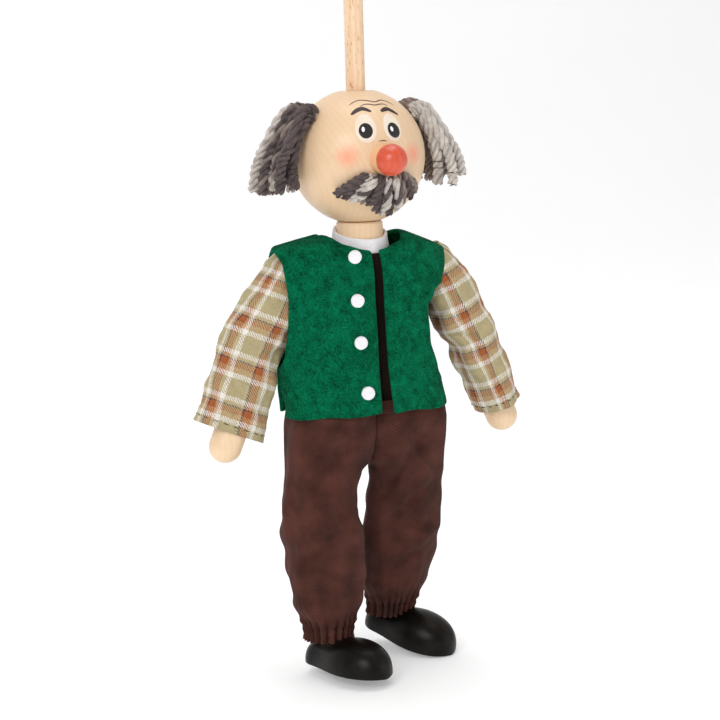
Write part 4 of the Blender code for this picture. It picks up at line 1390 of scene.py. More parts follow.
@dataclass
class Vest:
    """Felt vest of three panels with four felt dots.

    Heights and widths without a unit are millimetres, from the sole and from the middle line.

    Attributes:
        thickness: Of the felt.
        square: Power of the oval that the vest stands in, seen from above.
        low: Lowest height of the widths' share of the panel.
        high: Highest height of it.
        hem: Height of the lower edge.
        seam_top: Height of the shoulder seam beside the neck.
        seam_start: Where it starts to fall, out from the middle.
        neck_width: Where the neck's cut ends, out from the middle.
        side_gap: From the side line to a front's or the back's edge.
        wave: How far the felt's soft waves go.
        rear_pull: Share of its width that the right half of the back keeps at its edge.
        rear_reach: Least share of a quarter turn that the back goes round.
        armhole_ease: Length of the curve into the armhole from below.
        slopes: Fall of each shoulder seam.
        openings: Where each front's edge stands at the hem and at the neck.
        widths: Half widths by height.
        armholes: Half widths of the fronts beside the armhole by height.
        front_neck: Height of the front's neck edge by distance from the middle.
        rear_neck: The same for the back.
        dots: (x, height) of the felt dots, from the hem up.
    """

    thickness: float = 1.4 * MM
    square: float = 3.0
    low: float = 85.0
    high: float = 140.0
    hem: float = 85.6
    seam_top: float = 142.0
    seam_start: float = 14.0
    neck_width: float = 13.2
    side_gap: float = 0.25 * MM
    wave: float = 0.55 * MM
    rear_pull: float = 0.90
    rear_reach: float = 0.86
    armhole_ease: float = 6.0
    slopes: dict[Side, float] = field(default_factory=lambda: {Side.RIGHT: 0.20, Side.LEFT: 0.44})
    openings: dict[Side, tuple[float, float]] = field(
        default_factory=lambda: {Side.RIGHT: (0.25, -0.8), Side.LEFT: (3.9, 1.4)}
    )
    widths: dict[Side, Curve] = field(
        default_factory=lambda: {
            Side.RIGHT: [(85, 27.9), (95, 29.0), (104, 30.6), (116, 31.4), (128, 31.8), (139, 31.4)],
            Side.LEFT: [(85, 26.5), (95, 24.8), (104, 24.2), (116, 24.4), (124, 26.0), (131, 28.2),
                        (139, 28.8)],
        }
    )
    armholes: dict[Side, Curve] = field(
        default_factory=lambda: {
            Side.RIGHT: [(106, 29.3), (114, 28.5), (122, 28.2), (134, 28.9), (139, 30.2)],
            Side.LEFT: [(98, 21.4), (107, 18.3), (117, 18.0), (123, 20.8), (128, 25.6), (133, 27.4),
                        (139, 27.9)],
        }
    )
    front_neck: Curve = ((0, 136.9), (3, 137.2), (9, 139.0), (13.2, 142.0))
    rear_neck: Curve = ((0, 138.5), (8, 139.2), (14.5, 142.0))
    dots: Curve = ((-4.9, 92.9), (-6.6, 108.7), (-7.2, 121.8), (-7.0, 135.2))

    def half_width(self, side: Side, height: float) -> float:
        """The vest's half width at a height."""
        return along(self.widths[side], (height - FIGURE.sole) / MM) * MM

    def half_depth(self, height: float, out: float, slope: float) -> float:
        """The vest's half depth at a height and a distance from its middle.

        Args:
            height: Z of the place.
            out: Distance from the middle.
            slope: Fall of the shoulder seam for each length outwards.

        Returns:
            The half depth.
        """
        lifted = (height - FIGURE.sole) / MM + slope * max(out / MM - 14.0, 0.0)
        body = along([(85, 14.3), (104, 13.4), (126, 12.9), (136, 12.2)], lifted)
        over = min(max((lifted - 127.0) / 15.0, 0.0), 1.0)
        return body * math.sqrt(max(1.0 - over**3.4, 0.0)) * MM + 0.4 * MM

    def at(self, x: float, height: float, back: bool = False) -> Vector:
        """A place on the vest's outer side.

        Args:
            x: Sideways place.
            height: Z of the place.
            back: Whether it is on the back.

        Returns:
            The place.
        """
        side = Side.LEFT if x > 0 else Side.RIGHT
        wide = self.half_width(side, height)
        share = min(abs(x) / wide, 1.0)
        slope = self.slopes[side]
        deep = self.half_depth(height, abs(x), slope) * (1.0 - share**self.square) ** (1 / self.square)
        return Vector((x, deep if back else -deep, height))

    def drape(self, place: Vector, seed: float, amount: float) -> Vector:
        """Moves a place by the soft waves of hanging felt."""
        wave = ripple(place.x * 90, place.z * 45, seed)
        small = ripple(place.x * 260, place.z * 200, seed + 9)
        way = Vector((place.x * 0.4, place.y, 0.0)).normalized()
        return place + way * (wave * amount + small * amount * 0.25)

    def reach(self, side: Side, v: float) -> float:
        """How far out a panel reaches at a share of its height, as an angle of the oval."""
        height = mix(self.low, self.high, v)
        wide = self.half_width(side, FIGURE.up(height)) / MM
        edge = self.armholes[side]
        out = along([(edge[0][0] - self.armhole_ease, wide), *edge], height)
        return math.asin(min(out / wide, 1.0) ** (self.square / 2))

    def panel_at(self, side: Side | None, u: float, v: float, seed: float) -> Vector:
        """A place on a panel.

        Args:
            side: Which front, or None for the back.
            u: Share of the way across, from the opening, or from the right side on the back.
            v: Share of the way up.
            seed: Sets its waves.

        Returns:
            The place.
        """
        back = side is None
        if back:
            here = Side.RIGHT if u < 0.5 else Side.LEFT
            angle = mix(-1.0, 1.0, u) * max(self.reach(here, v), math.pi / 2 * self.rear_reach)
        else:
            here = side
            edge = mix(*self.openings[side], v)
            start = math.asin((abs(edge) / 27.0) ** (self.square / 2))
            start = math.copysign(start, edge * side.value)
            angle = mix(start, self.reach(side, v), u) * side.value
        wide = self.half_width(here, FIGURE.up(mix(self.low, self.high, v)))
        sine = math.sin(angle)
        share = abs(sine) ** (2 / self.square)
        x = math.copysign(wide * share, sine)
        if back and here is Side.RIGHT:
            x *= mix(1.0, self.rear_pull, smooth_step(0.2, 0.9, share))
        out = abs(x) / MM
        hem = self.hem + 0.35 * math.sin(out * 0.35 + seed)
        top = self.seam_top - self.slopes[here] * max(out - self.seam_start, 0.0)
        if out < self.neck_width:
            top = along(self.rear_neck if back else self.front_neck, out)
        place = self.at(x, FIGURE.up(mix(hem, top, v)), back)
        if back:
            place.y = max(place.y, self.side_gap)
        elif abs(sine) > 0.985:
            place.y = min(place.y, -self.side_gap)
        return self.drape(place, seed, self.wave)

    def panel(
        self, name: str, nodes: Sequence[str], side: Side | None, columns: int, seed: float
    ) -> None:
        """Builds one panel: a front when side is given, and otherwise the back.

        Args:
            name: The piece's name.
            nodes: The CAD nodes it stands for.
            side: Which front, or None.
            columns: Faces across.
            seed: Sets its waves.
        """
        piece = Piece(name)
        piece.wrap(columns, 66, lambda u, v: self.panel_at(side, u, v, seed), (54 * MM, 56 * MM))
        made = piece.finish([GREEN_FELT.material()])
        face_away(made, middle_line)
        thicken(made, self.thickness, 1)
        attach(made, "torso")
        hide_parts(*nodes)

    def button(self, number: int, x: float, height: float) -> None:
        """Cuts one felt dot and sets it on the right front."""
        place = self.drape(self.at(x * MM, FIGURE.up(height)), 1.7, self.wave)
        piece = Piece(f"felt_button_{number}")
        radius, thick, soft = 2.1 * MM, 1.0 * MM, 0.35 * MM
        profile = [(0.0, 0.0), (radius, 0.0), (radius, thick - soft)]
        profile += arc((radius - soft, thick - soft), soft, 30, 90, 2)
        profile += [(radius * 0.6, thick + 0.05 * MM), (radius * 0.3, thick + 0.08 * MM)]
        profile.append((0.0, thick + 0.08 * MM))
        stand = Matrix.Translation(place - Vector((0, 0.15 * MM, 0)))
        lean = Matrix.Rotation(math.radians(-13.0), 4, "Z") @ Matrix.Rotation(math.pi / 2, 4, "X")
        piece.turn(profile, 36, stand @ lean)
        noise.seed_set(number)
        for vert in piece.bm.verts:
            vert.co += noise.noise_vector(vert.co * 900) * 0.10 * MM
        made = piece.finish([WHITE_FELT.material()], outward=True, sharp=80)
        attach(made, "torso")
        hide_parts(f"vest_button_{number}")

    def build(self) -> None:
        """Builds the panels, the buttons and the loose fibres."""
        self.panel("vest_right_front", ["vest_front_right"], Side.RIGHT, 34, 1.7)
        self.panel("vest_left_front", ["vest_front_left"], Side.LEFT, 34, 4.2)
        self.panel("vest_rear", ["vest_back"], None, 70, 7.9)
        for number, (x, height) in enumerate(self.dots, 1):
            self.button(number, x, height)


@dataclass
class Neck:
    """The turned neck, the felt band round it and the shirt body below, in near-black cloth as painted shade."""

    radius: float = 7.3 * MM
    bore: float = 3.15 * MM
    chamfer: float = 0.5 * MM
    trunk_width: float = 18.3 * MM
    trunk_depth: float = 10.1 * MM

    def build(self) -> None:
        """Builds the neck, the collar and the shirt body."""
        low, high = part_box("neck_bush")
        piece = Piece("neck")
        edge = high.z - self.chamfer
        profile = [(self.bore, low.z), (self.bore, high.z), (self.radius - self.chamfer, high.z)]
        profile.append((self.radius, edge))
        profile += straight(self.radius, edge, low.z, 10)
        profile.append((self.bore, low.z))
        piece.turn(profile, 56, Matrix.Identity(4))
        made = piece.finish([PLAIN_WOOD.material()], outward=True)
        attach(made, "torso")
        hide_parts("neck_bush")
        self.build_collar()
        self.build_shirt()

    def build_collar(self) -> None:
        """Wraps the felt band round the neck, low in front."""
        piece = Piece("collar_band")
        gap = math.radians(1.0)

        def surface(u: float, v: float) -> Vector:
            angle = mix(gap, math.tau - gap, u) + math.pi
            front = (1 + math.cos(angle)) / 2
            ring = mix(9.4, 8.5, v) * MM + noise.noise(Vector((u * 9, v * 2, 3))) * 0.25 * MM
            height = FIGURE.up(mix(135.6, 144.2, v) - front * mix(0.2, 4.2, v))
            return Vector((math.sin(angle) * ring, -math.cos(angle) * ring, height))

        piece.wrap(72, 10, surface, (56 * MM, 6 * MM))
        made = piece.finish([WHITE_FELT.material()])
        face_away(made, middle_line)
        thicken(made, 1.1 * MM, 1)
        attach(made, "torso")
        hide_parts("collar")

    def build_shirt(self) -> None:
        """Lays the shirt body round the torso, under the vest, in near-black cloth that paints the shade there."""
        piece = Piece("shirt_trunk")

        def surface(u: float, v: float) -> Vector:
            angle = math.tau * u
            height = mix(88.0, 135.2, v)
            sine, cosine = math.sin(angle), math.cos(angle)
            x = self.trunk_width * math.copysign(abs(sine) ** (1 / 3), sine)
            y = -self.trunk_depth * math.copysign(abs(cosine) ** (1 / 3), cosine)
            place = Vector((x, y, FIGURE.up(height)))
            return place + Vector((x, y, 0)).normalized() * noise.noise(place * 140) * 0.12 * MM

        piece.wrap(120, 44, surface, (110 * MM, 47 * MM), closed=True)
        # Near-black cloth as painted shade inside the vest's opening.
        made = piece.finish([SHIRT_SHADE_CLOTH.material()])
        face_away(made, middle_line)
        thicken(made, 0.6 * MM)
        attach(made, "torso")
        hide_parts("shirt_body")


@dataclass(frozen=True)
class SleeveShape:
    """How one sleeve hangs; all in millimetres, with places counted down from the shoulder.

    Attributes:
        broad: Half widths, seen from the front.
        flat: Half depths.
        bow: How far it swings out at its middle.
        crook: How deep the inner side gives at the elbow.
        seed: Sets its folds.
    """

    broad: Curve
    flat: Curve
    bow: float
    crook: float
    seed: float


@dataclass(frozen=True)
class Pinch:
    """One cross fold at the elbow: its place down the arm, its slant, its width and its depth."""

    drop: float
    slant: float
    width: float
    depth: float


SLEEVES = {
    Side.RIGHT: SleeveShape(
        ((-7, 4.6), (-2, 7.2), (4, 8.6), (16, 10.2), (28, 11.0), (40, 11.0), (52, 11.6)),
        ((-7, 4.6), (0, 7.6), (10, 8.6), (24, 7.6), (34, 7.2), (50, 6.4)),
        bow=2.8,
        crook=2.8,
        seed=3.0,
    ),
    Side.LEFT: SleeveShape(
        ((-7, 4.6), (-2, 7.0), (4, 8.2), (16, 8.8), (28, 8.2), (40, 7.0), (52, 6.4)),
        ((-7, 4.6), (0, 7.6), (10, 8.8), (24, 9.4), (34, 9.8), (50, 10.6)),
        bow=1.2,
        crook=1.0,
        seed=8.0,
    ),
}
PINCHES = (Pinch(25.5, 5.0, 1.3, 0.26), Pinch(21.0, 8.0, 1.7, 0.15), Pinch(31.0, 1.0, 1.8, 0.16))


@dataclass
class Arm:
    """One sleeve with its hem and the wooden hand that shows below it.

    Attributes:
        side: Which arm.
        thickness: Of the flannel.
        top: Where the sleeve starts, in millimetres down from the shoulder.
        cuff: Where it ends.
        hem: Where the running stitch goes round.
        stitches: How many show.
        thread: The thread's radius.
        bend: Not used.
        hand: The hand's radius.
        wrist: The turned-down wrist's radius.
        reach: From the elbow to the hand's end.
    """

    side: Side
    thickness: float = 0.6 * MM
    top: float = -6.5
    cuff: float = 50.6
    hem: float = 48.5
    stitches: int = 20
    thread: float = 0.16 * MM
    bend: float = 6 * MM
    hand: float = 5.15 * MM
    wrist: float = 4.7 * MM
    reach: float = 31.5 * MM

    def __post_init__(self) -> None:
        """Reads the shoulder, elbow and hanging direction."""
        word = self.side.word
        self.shoulder = joint_place(f"shoulder_raise_{word}")
        self.elbow = joint_place(f"elbow_bend_{word}")
        self.down = (self.elbow - self.shoulder).normalized()
        self.out = Vector((0, 1, 0)).cross(self.down) * -self.side.value
        if self.out.x * self.side.value < 0:
            self.out.negate()
        self.front = Vector((0, -1, 0))
        self.shape = SLEEVES[self.side]

    def axis_beside(self, place: Vector) -> Vector:
        """The point of the arm's middle line beside a place."""
        return self.shoulder + self.down * (place - self.shoulder).dot(self.down)

    def build(self) -> None:
        """Builds the sleeve, its stitches and the hand."""
        self.build_sleeve()
        self.build_stitches()
        self.build_hand()

    def sleeve_at(self, u: float, drop: float) -> Vector:
        """A place on the sleeve's outer side.

        Args:
            u: Share of the way round, from the front through the outer side.
            drop: Millimetres from the shoulder along the arm.

        Returns:
            The place.
        """
        shape, angle = self.shape, math.tau * u
        sine, cosine = math.sin(angle), math.cos(angle)
        bow = shape.bow * math.sin(math.pi * min(max(drop / 56, 0), 1))
        side = along(shape.broad, drop) * sine * (1.0 + 0.08 * cosine**2) + bow
        front = along(shape.flat, drop) * cosine * (1.0 + 0.08 * sine**2)
        inner = max(-sine, 0.0)
        side += math.exp(-(((drop - 27.0) / 3.2) ** 2)) * inner * shape.crook
        for pinch in PINCHES:
            hold = math.exp(-(((drop - pinch.drop - pinch.slant * sine) / pinch.width) ** 2))
            front *= 1.0 - pinch.depth * hold * (0.25 + 0.75 * inner)
        fold = noise.noise(Vector((sine * 1.4 + shape.seed, cosine * 1.4, drop * 0.075)))
        waves = math.sin(drop * 0.42 + 2.2 * sine + 3.0 * fold + shape.seed)
        bulk = smooth_step(2, 14, drop) * (1.0 - 0.55 * smooth_step(40, 50, drop))
        fine = noise.noise(Vector((sine * 5 + shape.seed, cosine * 5, drop * 0.35))) * 0.35
        swell = fold * 1.5 + waves * 0.42 * bulk + fine
        round_out = Vector((side, front, 0)).normalized() * swell
        side, front = side + round_out.x, front + round_out.y
        place = self.shoulder + self.down * (drop * MM)
        return place + self.out * (side * MM) + self.front * (front * MM)

    def build_sleeve(self) -> None:
        """Lays the sleeve from under the vest's armhole to the cuff."""
        word = self.side.word
        piece = Piece(f"sleeve_{word}")
        piece.wrap(
            96,
            132,
            lambda u, v: self.sleeve_at(u, mix(self.top, self.cuff, v)),
            (66 * MM, 57 * MM),
            closed=True,
        )
        made = piece.finish([FLANNEL.material()], sharp=70)
        face_away(made, self.axis_beside)
        thicken(made, self.thickness)
        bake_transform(made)
        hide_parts(f"sleeve_upper_{word}", f"sleeve_lower_{word}")

    def build_stitches(self) -> None:
        """Sews the cuff's hem with a running stitch of dark thread."""
        word = self.side.word
        piece = Piece(f"cuff_stitches_{word}")
        half = 0.30 / self.stitches
        for number in range(self.stitches):

            def surface(u: float, v: float, start: float = number / self.stitches) -> Vector:
                place_u = start + mix(-half, half, v)
                place = self.sleeve_at(place_u, self.hem)
                ahead = (self.sleeve_at(place_u + 0.002, self.hem) - place).normalized()
                out = (place - self.axis_beside(place)).normalized()
                across = ahead.cross(out)
                ends = math.sqrt(max(math.sin(math.pi * v), 0.0))
                angle = math.tau * u
                rim = (out * math.cos(angle) + across * math.sin(angle)) * max(ends, 0.05)
                return place + out * 0.05 * MM * ends + rim * self.thread

            piece.wrap(6, 6, surface, closed=True)
        thread = Paint("dark_thread", linear(38, 24, 24), linear(64, 42, 38), 0.8)
        made = piece.finish([thread.material()])
        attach(made, f"forearm_{word}")

    def build_hand(self) -> None:
        """Turns the forearm dowel that ends in the rounded hand."""
        word = self.side.word
        profile = [(0.0, -5.4 * MM), (self.wrist, -5.4 * MM)]
        profile += straight(self.wrist, -5.4 * MM, -15.0 * MM, 4)
        profile.append((self.hand, -18.5 * MM))
        profile += arc((0.0, self.hand - self.reach), self.hand, 0, -90, 18)
        piece = Piece(f"hand_{word}")
        axis = (-self.down).to_track_quat("Z", "Y").to_matrix().to_4x4()
        piece.turn(profile, 48, Matrix.Translation(self.elbow) @ axis)
        made = piece.finish([PLAIN_WOOD.material()], outward=True)
        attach(made, f"forearm_{word}")
        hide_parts(f"forearm_{word}")


@dataclass(frozen=True)
class Crease:
    """One pulled crease on the front of a trouser leg; lengths in millimetres.

    Attributes:
        across: Its middle, as a share of the half width towards the outer side.
        slant: Its rise towards the outer side.
        height: Of its middle above the sole.
        depth: How far the cloth gives.
        width: Of the crease.
    """

    across: float
    slant: float
    height: float
    depth: float
    width: float


ANKLE = ((11, 7.8), (14, 7.2), (18.5, 8.6))
TROUSER_OUTER = (
    *ANKLE, (25, 11.6), (36, 13.4), (50, 13.9), (62, 13.4), (76, 11.9), (88, 10.8), (94, 10.0)
)
TROUSER_INNER = (
    *ANKLE, (25, 11.2), (38, 12.0), (50, 11.4), (60, 10.6), (66, 11.6), (70, 14.8), (74, 17.6), (80, 19.5)
)
TROUSER_DEEP = (
    (11, 7.6), (14, 7.0), (18.5, 8.4), (26, 9.6), (40, 10.8), (60, 11.0), (74, 12.0), (84, 12.2), (94, 11.6)
)
CREASES = (
    Crease(-0.25, 1.1, 52.0, 1.7, 2.0),
    Crease(0.35, -0.9, 44.0, 1.5, 1.8),
    Crease(-0.1, 0.7, 34.0, 1.3, 1.7),
    Crease(0.1, -1.6, 72.0, 1.6, 2.6),
    Crease(-0.6, 2.0, 62.0, 1.5, 2.2),
)


@dataclass
class Leg:
    """One trouser leg with its ankle gathers, and the shoe below it.

    Attributes:
        side: Which leg.
        thickness: Of the twill.
        hem: Where the cloth ends, in millimetres above the sole.
        top: Where it starts, under the vest.
        elastic: Height of the sewn elastic that draws the ankle in.
        crotch: Height above which the legs nearly meet.
        vest_depth: Half depth that fits under the vest.
        gathers: Small folds round the ankle.
        bend: Not used.
    """

    side: Side
    thickness: float = 0.6 * MM
    hem: float = 12.4
    top: float = 87.0
    elastic: float = 17.0
    crotch: float = 64.0
    vest_depth: float = 12.2
    gathers: int = 22
    bend: float = 7 * MM

    def __post_init__(self) -> None:
        """Reads the hip, the knee and the leg's swing."""
        word = self.side.word
        self.hip = joint_place(f"hip_swing_{word}")
        self.knee = joint_place(f"knee_bend_{word}")
        self.swing = (self.knee - self.hip).normalized()
        self.seed = 2.0 if self.side is Side.RIGHT else 6.5

    def centre_at(self, height: float) -> Vector:
        """The leg's middle line at a height in millimetres, straight down above the hip."""
        z = FIGURE.up(height)
        if z > self.hip.z:
            return Vector((self.hip.x, 0.0, z))
        drop = (self.hip.z - z) / -self.swing.z
        place = self.hip + self.swing * drop
        return Vector((place.x, place.y, z))

    def trouser_at(self, u: float, height: float) -> Vector:
        """A place on the trouser leg's outer side.

        Args:
            u: Share of the way round, from the front through the outer side.
            height: Millimetres above the sole, measured at the right leg.

        Returns:
            The place.
        """
        sign, seed = self.side.value, self.seed
        angle = math.tau * u
        sine, cosine = math.sin(angle), math.cos(angle)
        side = along(TROUSER_OUTER if sine > 0 else TROUSER_INNER, height)
        side *= sine * (1.0 + 0.09 * cosine**2)
        front = along(TROUSER_DEEP, height) * cosine * (1.0 + 0.09 * sine**2)
        swell = self.folds(angle, height) + self.ruffle(angle, height)
        way = Vector((side, front, 0)).normalized()
        side += way.x * swell
        front += way.y * swell
        line = self.centre_at(height)
        gap = (0.03 if height > self.crotch else 0.1) * MM
        x = sign * max(sign * (line.x + sign * side * MM), gap)
        limit = mix(99.0, self.vest_depth, smooth_step(80, 86, height))
        front = max(min(front, limit), -limit)
        return Vector((x, line.y - front * MM, line.z))

    def folds(self, angle: float, height: float) -> float:
        """How far the loose folds push the cloth out, in millimetres, at a place round the leg."""
        sine, cosine, seed = math.sin(angle), math.cos(angle), self.seed
        fold = ripple(sine * 1.1 + seed, cosine * 1.1, height * 0.04)
        drape = ripple(sine * 2.2 + seed, cosine * 2.2, height * 0.03 + 5)
        cross = ripple(sine * 1.2 + seed, cosine * 1.2 + 3, height * 0.13)
        knee = math.exp(-(((height - 44) / 12) ** 2))
        hang = math.sin(angle * 5 + seed + height * 0.03) * 0.22 * smooth_step(14, 33, height)
        loose = fold * 1.3 + drape * 1.3 + cross * (0.7 + 0.8 * knee) + hang
        return loose * smooth_step(16, 30, height) - self.creases_at(cosine, sine, height)

    def ruffle(self, angle: float, height: float) -> float:
        """How far the gathers push the cloth out at the ankle, in millimetres."""
        wave = math.sin(angle * self.gathers / 2 + 1.2 * math.sin(angle * 3 + self.seed) + self.seed)
        below = 1.0 - smooth_step(self.elastic, self.elastic + 4, height)
        above = 1.0 - smooth_step(14, 33, height)
        drawn_in = 0.75 * math.exp(-(((height - self.elastic) / 0.9) ** 2))
        return (2.0 * abs(wave) - 1.3) * (0.75 * below + 0.32 * above) - drawn_in

    @staticmethod
    def creases_at(cosine: float, sine: float, height: float) -> float:
        """How deep the pulled creases are, in millimetres, at a place on the front of the leg."""
        depth = 0.0
        for crease in CREASES:
            across = sine - crease.across
            line = crease.height + crease.slant * across * 10.0
            fade = math.exp(-((across / 0.55) ** 2))
            depth += crease.depth * fade * math.exp(-(((height - line) / crease.width) ** 2))
        return depth * max(cosine, 0.0)

    def build(self) -> None:
        """Lays the trouser leg and builds the shoe."""
        word = self.side.word
        piece = Piece(f"trouser_leg_{word}")
        piece.wrap(
            192,
            150,
            lambda u, v: self.trouser_at(u, mix(self.hem, self.top, v)),
            (78 * MM, (self.top - self.hem) * MM),
            closed=True,
        )
        leg = piece.finish([TWILL.material()], sharp=70)
        face_away(leg, lambda place: self.centre_at((place.z - FIGURE.sole) / MM))
        thicken(leg, self.thickness)
        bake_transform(leg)
        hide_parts(f"trouser_thigh_{word}", f"trouser_shin_{word}")
        Shoe(self.side, self.knee, self.swing).build()


@dataclass
class Seat:
    """The trousers' waist and the rounded hips that the legs turn over.

    Attributes:
        radius: Of the hips.
        hem: Half width, half depth and height of the waist's lower edge, in millimetres.
        top: The same of its upper edge.
        hip_reach: Where each hip starts and ends, out from the middle line, in millimetres.
    """

    radius: float = 9.9 * MM
    hem: tuple[float, float, float] = (24.6, 12.2, 85.4)
    top: tuple[float, float, float] = (21.8, 11.6, 89.4)
    hip_reach: tuple[float, float] = (1.4, 22.5)

    def build(self) -> None:
        """Builds the waist and both hips as one piece."""
        piece = Piece("trouser_waist")
        hips = joint_place("hip_swing_right")

        def waist(u: float, v: float) -> Vector:
            angle = math.tau * u
            wide, deep, height = (mix(low, high, v) for low, high in zip(self.hem, self.top))
            sine, cosine = math.sin(angle), math.cos(angle)
            x = wide * MM * math.copysign(abs(sine) ** (2 / 3), sine)
            y = -deep * MM * math.copysign(abs(cosine) ** (2 / 3), cosine)
            return Vector((x, y, FIGURE.up(height)))

        piece.wrap(96, 10, waist, (120 * MM, 5 * MM), closed=True)
        for side in Side:

            def hip(u: float, v: float, side: Side = side) -> Vector:
                angle = math.tau * u
                ends = math.sin(math.pi * min(max(v, 0.0), 1.0))
                ring = self.radius * min(ends * 3.0, 1.0) ** 0.5
                x = side.value * mix(*self.hip_reach, v) * MM
                return Vector((x, math.cos(angle) * ring, hips.z + math.sin(angle) * ring))

            piece.wrap(48, 24, hip, (62 * MM, 21 * MM), closed=True)
        made = piece.finish([TWILL.material()])
        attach(made, "torso")
        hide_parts("trouser_seat")


@dataclass
class Shoe:
    """A round-toed shoe of painted wood on a flat sole.

    Attributes:
        side: Which foot.
        knee: Place of the knee's pivot.
        swing: Way that the leg hangs.
        length: From heel to toe.
        half_width: At the broad toe.
        height: Over the toe.
        heel: From the ankle's middle back to the heel.
        below_knee: From the knee's pivot down to the sole.
        wear: How far up from its lowest edge the paint has worn away.
        toe_turns: Degrees that the right and the left toe turn towards the figure's left.
    """

    side: Side
    knee: Vector
    swing: Vector
    length: float = 34.0 * MM
    half_width: float = 8.8 * MM
    height: float = 10.6 * MM
    heel: float = 8.5 * MM
    below_knee: float = 43.4 * MM
    wear: float = 0.7 * MM
    toe_turns: tuple[float, float] = (22.0, 32.0)

    def section(self, share: float) -> tuple[float, float]:
        """Half width and height at a share of the length from the heel."""
        fullness = smooth_step(0.15, 0.62, share)
        end = max((share - 0.62) / 0.38, (0.2 - share) / 0.2, 0.0)
        ends = math.sqrt(max(1.0 - end**2.2, 0.0))
        wide = self.half_width * ends * (0.70 + 0.30 * fullness)
        return wide, self.height * ends**0.75 * (0.74 + 0.26 * fullness)

    def surface(self, u: float, v: float) -> Vector:
        """A place on the shoe: u goes round the cross section, v from heel to toe."""
        share = 0.5 - 0.5 * math.cos(math.pi * v)
        wide, high = self.section(share)
        y = self.heel - self.length * share
        angle = math.tau * u
        side, up = math.sin(angle), -math.cos(angle)
        lip = min(1.0 * MM, high * 0.22)
        if up < 0:
            x = wide * math.copysign(abs(side) ** 0.45, side) * (1 - 0.10 * (-up) ** 2)
            z = lip * (1 - (-up) ** 0.5)
        else:
            x = wide * math.copysign(abs(side) ** 0.86, side)
            z = lip + (high - lip) * up**0.92
        return Vector((x, y, z))

    def build(self) -> None:
        """Lofts the shoe and sets it under the shin."""
        word = self.side.word
        turn = math.radians(self.toe_turns[self.side is Side.LEFT])
        lean = math.atan2(self.swing.y, -self.swing.z)
        place = (
            Matrix.Translation(self.knee)
            @ Matrix.Rotation(lean, 4, "X")
            @ Matrix.Translation(Vector((0, 0, -self.below_knee)))
            @ Matrix.Rotation(turn, 4, "Z")
        )
        piece = Piece(f"clog_{word}")
        piece.wrap(72, 64, lambda u, v: place @ self.surface(u, v), (50 * MM, 34 * MM), closed=True)
        lowest = min(vert.co.z for vert in piece.bm.verts)
        paint = Paint(
            f"shoe_paint_{word}",
            SHOE_BLACK,
            SHOE_BROWN,
            worn_below=lowest + self.wear,
            bare=linear(120, 92, 70),
            shine=0.16,
        )
        made = piece.finish([paint.material()], outward=True, sharp=60)
        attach(made, f"shin_{word}")
        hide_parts(f"shoe_{word}")


def make_floor() -> None:
    """Lays the pale floor just under the soles; it curves up behind the figure."""
    piece = Piece("floor")
    low = min(vector[2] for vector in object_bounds()) - 0.2 * MM
    front, back, half_width, flat, bend = -1.2, 3.2, 2.5, 0.8, 0.5

    def sweep(u: float, v: float) -> Vector:
        past = mix(front, back, v) - flat
        turn = min(max(past / bend, 0.0), math.pi / 2)
        rise = bend * (1 - math.cos(turn)) + max(past - bend * math.pi / 2, 0.0)
        return Vector(
            (mix(half_width, -half_width, u), flat + min(past, 0.0) + bend * math.sin(turn), low + rise)
        )

    piece.wrap(2, 60, sweep)
    made = piece.finish([Floor().material()])
    made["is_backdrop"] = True


@dataclass(frozen=True)
class Lamp:
    """One soft round lamp that points at the figure.

    Attributes:
        name: The lamp's name.
        place: Where it hangs, from the figure's middle, in metres.
        size: Its width.
        power: In watts.
    """

    name: str
    place: tuple[float, float, float]
    size: float
    power: float


FIGURE_MIDDLE = Vector((0.0, 0.0, -0.2))
LAMPS = (
    Lamp("key", (-0.80, -0.90, 0.60), 0.7, 7.5),
    Lamp("fill", (0.95, -0.75, 0.15), 0.9, 1.6),
    Lamp("top", (0.1, 0.1, 1.2), 1.0, 6.0),
)
SURROUND_STRENGTH = 0.5


def make_lights() -> None:
    """Hangs three large soft lamps in a white surround."""
    for lamp in LAMPS:
        light = bpy.data.lights.new(lamp.name, "AREA")
        light.shape = "DISK"
        light.size = lamp.size
        light.energy = lamp.power
        made = bpy.data.objects.new(lamp.name, light)
        made.location = Vector(lamp.place) + FIGURE_MIDDLE
        made.rotation_euler = (-Vector(lamp.place)).to_track_quat("-Z", "Y").to_euler()
        bpy.context.scene.collection.objects.link(made)
    world = bpy.data.worlds.new("white_surround")
    world.use_nodes = True
    graph = Graph(world.node_tree)
    white = (1.0, 1.0, 1.0, 1.0)
    lit = world.node_tree.nodes["Background"]
    lit.inputs["Color"].default_value = white
    lit.inputs["Strength"].default_value = SURROUND_STRENGTH
    seen = graph.add("ShaderNodeBackground", {"Color": white})
    rays = graph.add("ShaderNodeLightPath").outputs["Is Camera Ray"]
    both = graph.add("ShaderNodeMixShader", {0: rays, 1: lit.outputs[0], 2: seen.outputs[0]})
    surface = world.node_tree.nodes["World Output"].inputs["Surface"]
    world.node_tree.links.new(both.outputs[0], surface)
    bpy.context.scene.world = world
    bpy.context.scene.view_settings.view_transform = "Standard"


@dataclass(frozen=True)
class Viewpoint:
    """Where the camera stands and how it is held.

    Attributes:
        turn: Degrees round from the front, towards the figure's left.
        rise: Degrees above level.
        roll: Degrees that it leans.
        distance: To the figure.
        aim: Height that it aims at, in millimetres above the sole.
        shift: How far its aim is moved to its left.
        lens: Focal length in millimetres.
    """

    turn: float = -23.0
    rise: float = 9.0
    roll: float = 1.65
    distance: float = 650.0 * MM
    aim: float = 100.9
    shift: float = 1.07 * MM
    lens: float = 102.85


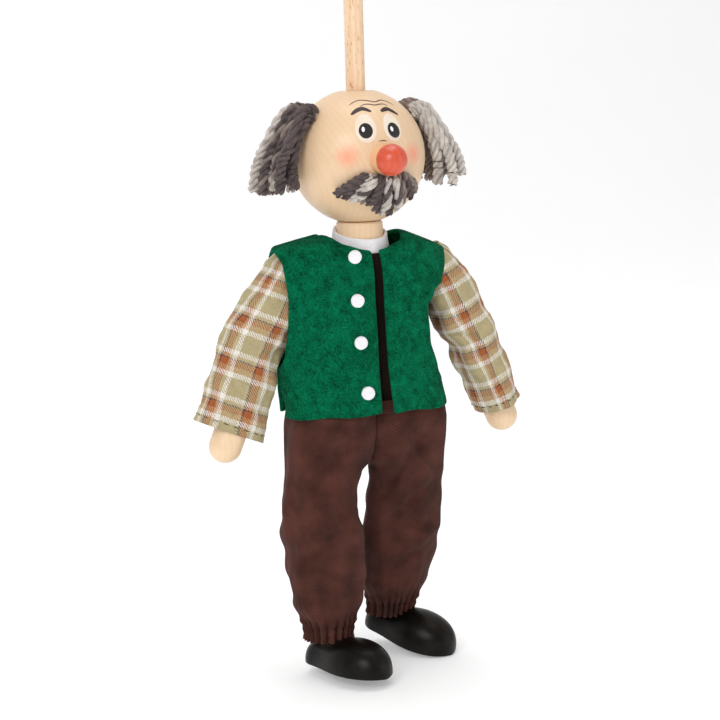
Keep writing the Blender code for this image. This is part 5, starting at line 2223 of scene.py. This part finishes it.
def make_camera(view: Viewpoint = Viewpoint()) -> None:
    """Sets the camera low on the figure's right, a little above it."""
    turn, rise, roll = (math.radians(angle) for angle in (view.turn, view.rise, view.roll))
    back = Vector((math.sin(turn) * math.cos(rise), -math.cos(turn) * math.cos(rise), math.sin(rise)))
    right = Vector((math.cos(turn), math.sin(turn), 0.0))
    up = back.cross(right)
    across = right * math.cos(roll) - up * math.sin(roll)
    upright = right * math.sin(roll) + up * math.cos(roll)
    camera = bpy.data.cameras.new("camera")
    camera.lens = view.lens
    camera.sensor_width = 36.0
    made = bpy.data.objects.new("camera", camera)
    place = Matrix((across, upright, back)).transposed().to_4x4()
    aim = Vector((0, 0, FIGURE.up(view.aim))) - across * view.shift
    place.translation = aim + back * view.distance
    made.matrix_world = place
    bpy.context.scene.collection.objects.link(made)
    bpy.context.scene.camera = made


def dress_kept_nodes() -> None:
    """Gives every node that stays its detailed finish."""
    inner = Wood("inner_wood", PALE_WOOD, DARK_WOOD, flecks=0.4)
    shoe = Paint("shoe_underpaint", SHOE_BLACK, SHOE_BROWN, 0.35)
    elastic = Paint("sewn_elastic", linear(40, 26, 24), linear(70, 48, 42), 0.7)
    cotton = Felt("cotton_cord", linear(150, 140, 120), linear(226, 218, 198))
    finishes = {
        "pale_wood": inner,
        "red_paint": inner,
        "black_paint": shoe,
        "steel": Wire(),
        "cord": cotton,
        "elastic": elastic,
        "brown_twill": Felt("twill_inside", linear(46, 25, 22), linear(98, 60, 50)),
        "plaid_flannel": Felt("flannel_inside", OLIVE, BEIGE),
        "green_felt": GREEN_FELT,
        "white_felt": WHITE_FELT,
        "grey_yarn": Felt("yarn_inside", NAVY, OLIVE),
    }
    slots = {part["node"]: part["material_slot"] for part in frame["record"]["subparts"]}
    for name, node in frame["nodes"].items():
        material = finishes[slots[name]].material()
        node.data.materials.clear()
        node.data.materials.append(material)


def main() -> None:
    """Builds the puppet's looks and reports each piece."""
    logging.basicConfig(level=logging.INFO, format="%(message)s")
    make_camera()
    make_wood_grain()
    make_loose_fibres()
    make_twill_weave()
    dress_kept_nodes()
    Stick().build()
    Head().build()
    Hair().build()
    Neck().build()
    Vest().build()
    Seat().build()
    for side in Side:
        Arm(side).build()
        Leg(side).build()
    make_floor()
    make_lights()


if __name__ == "__main__":
    main()
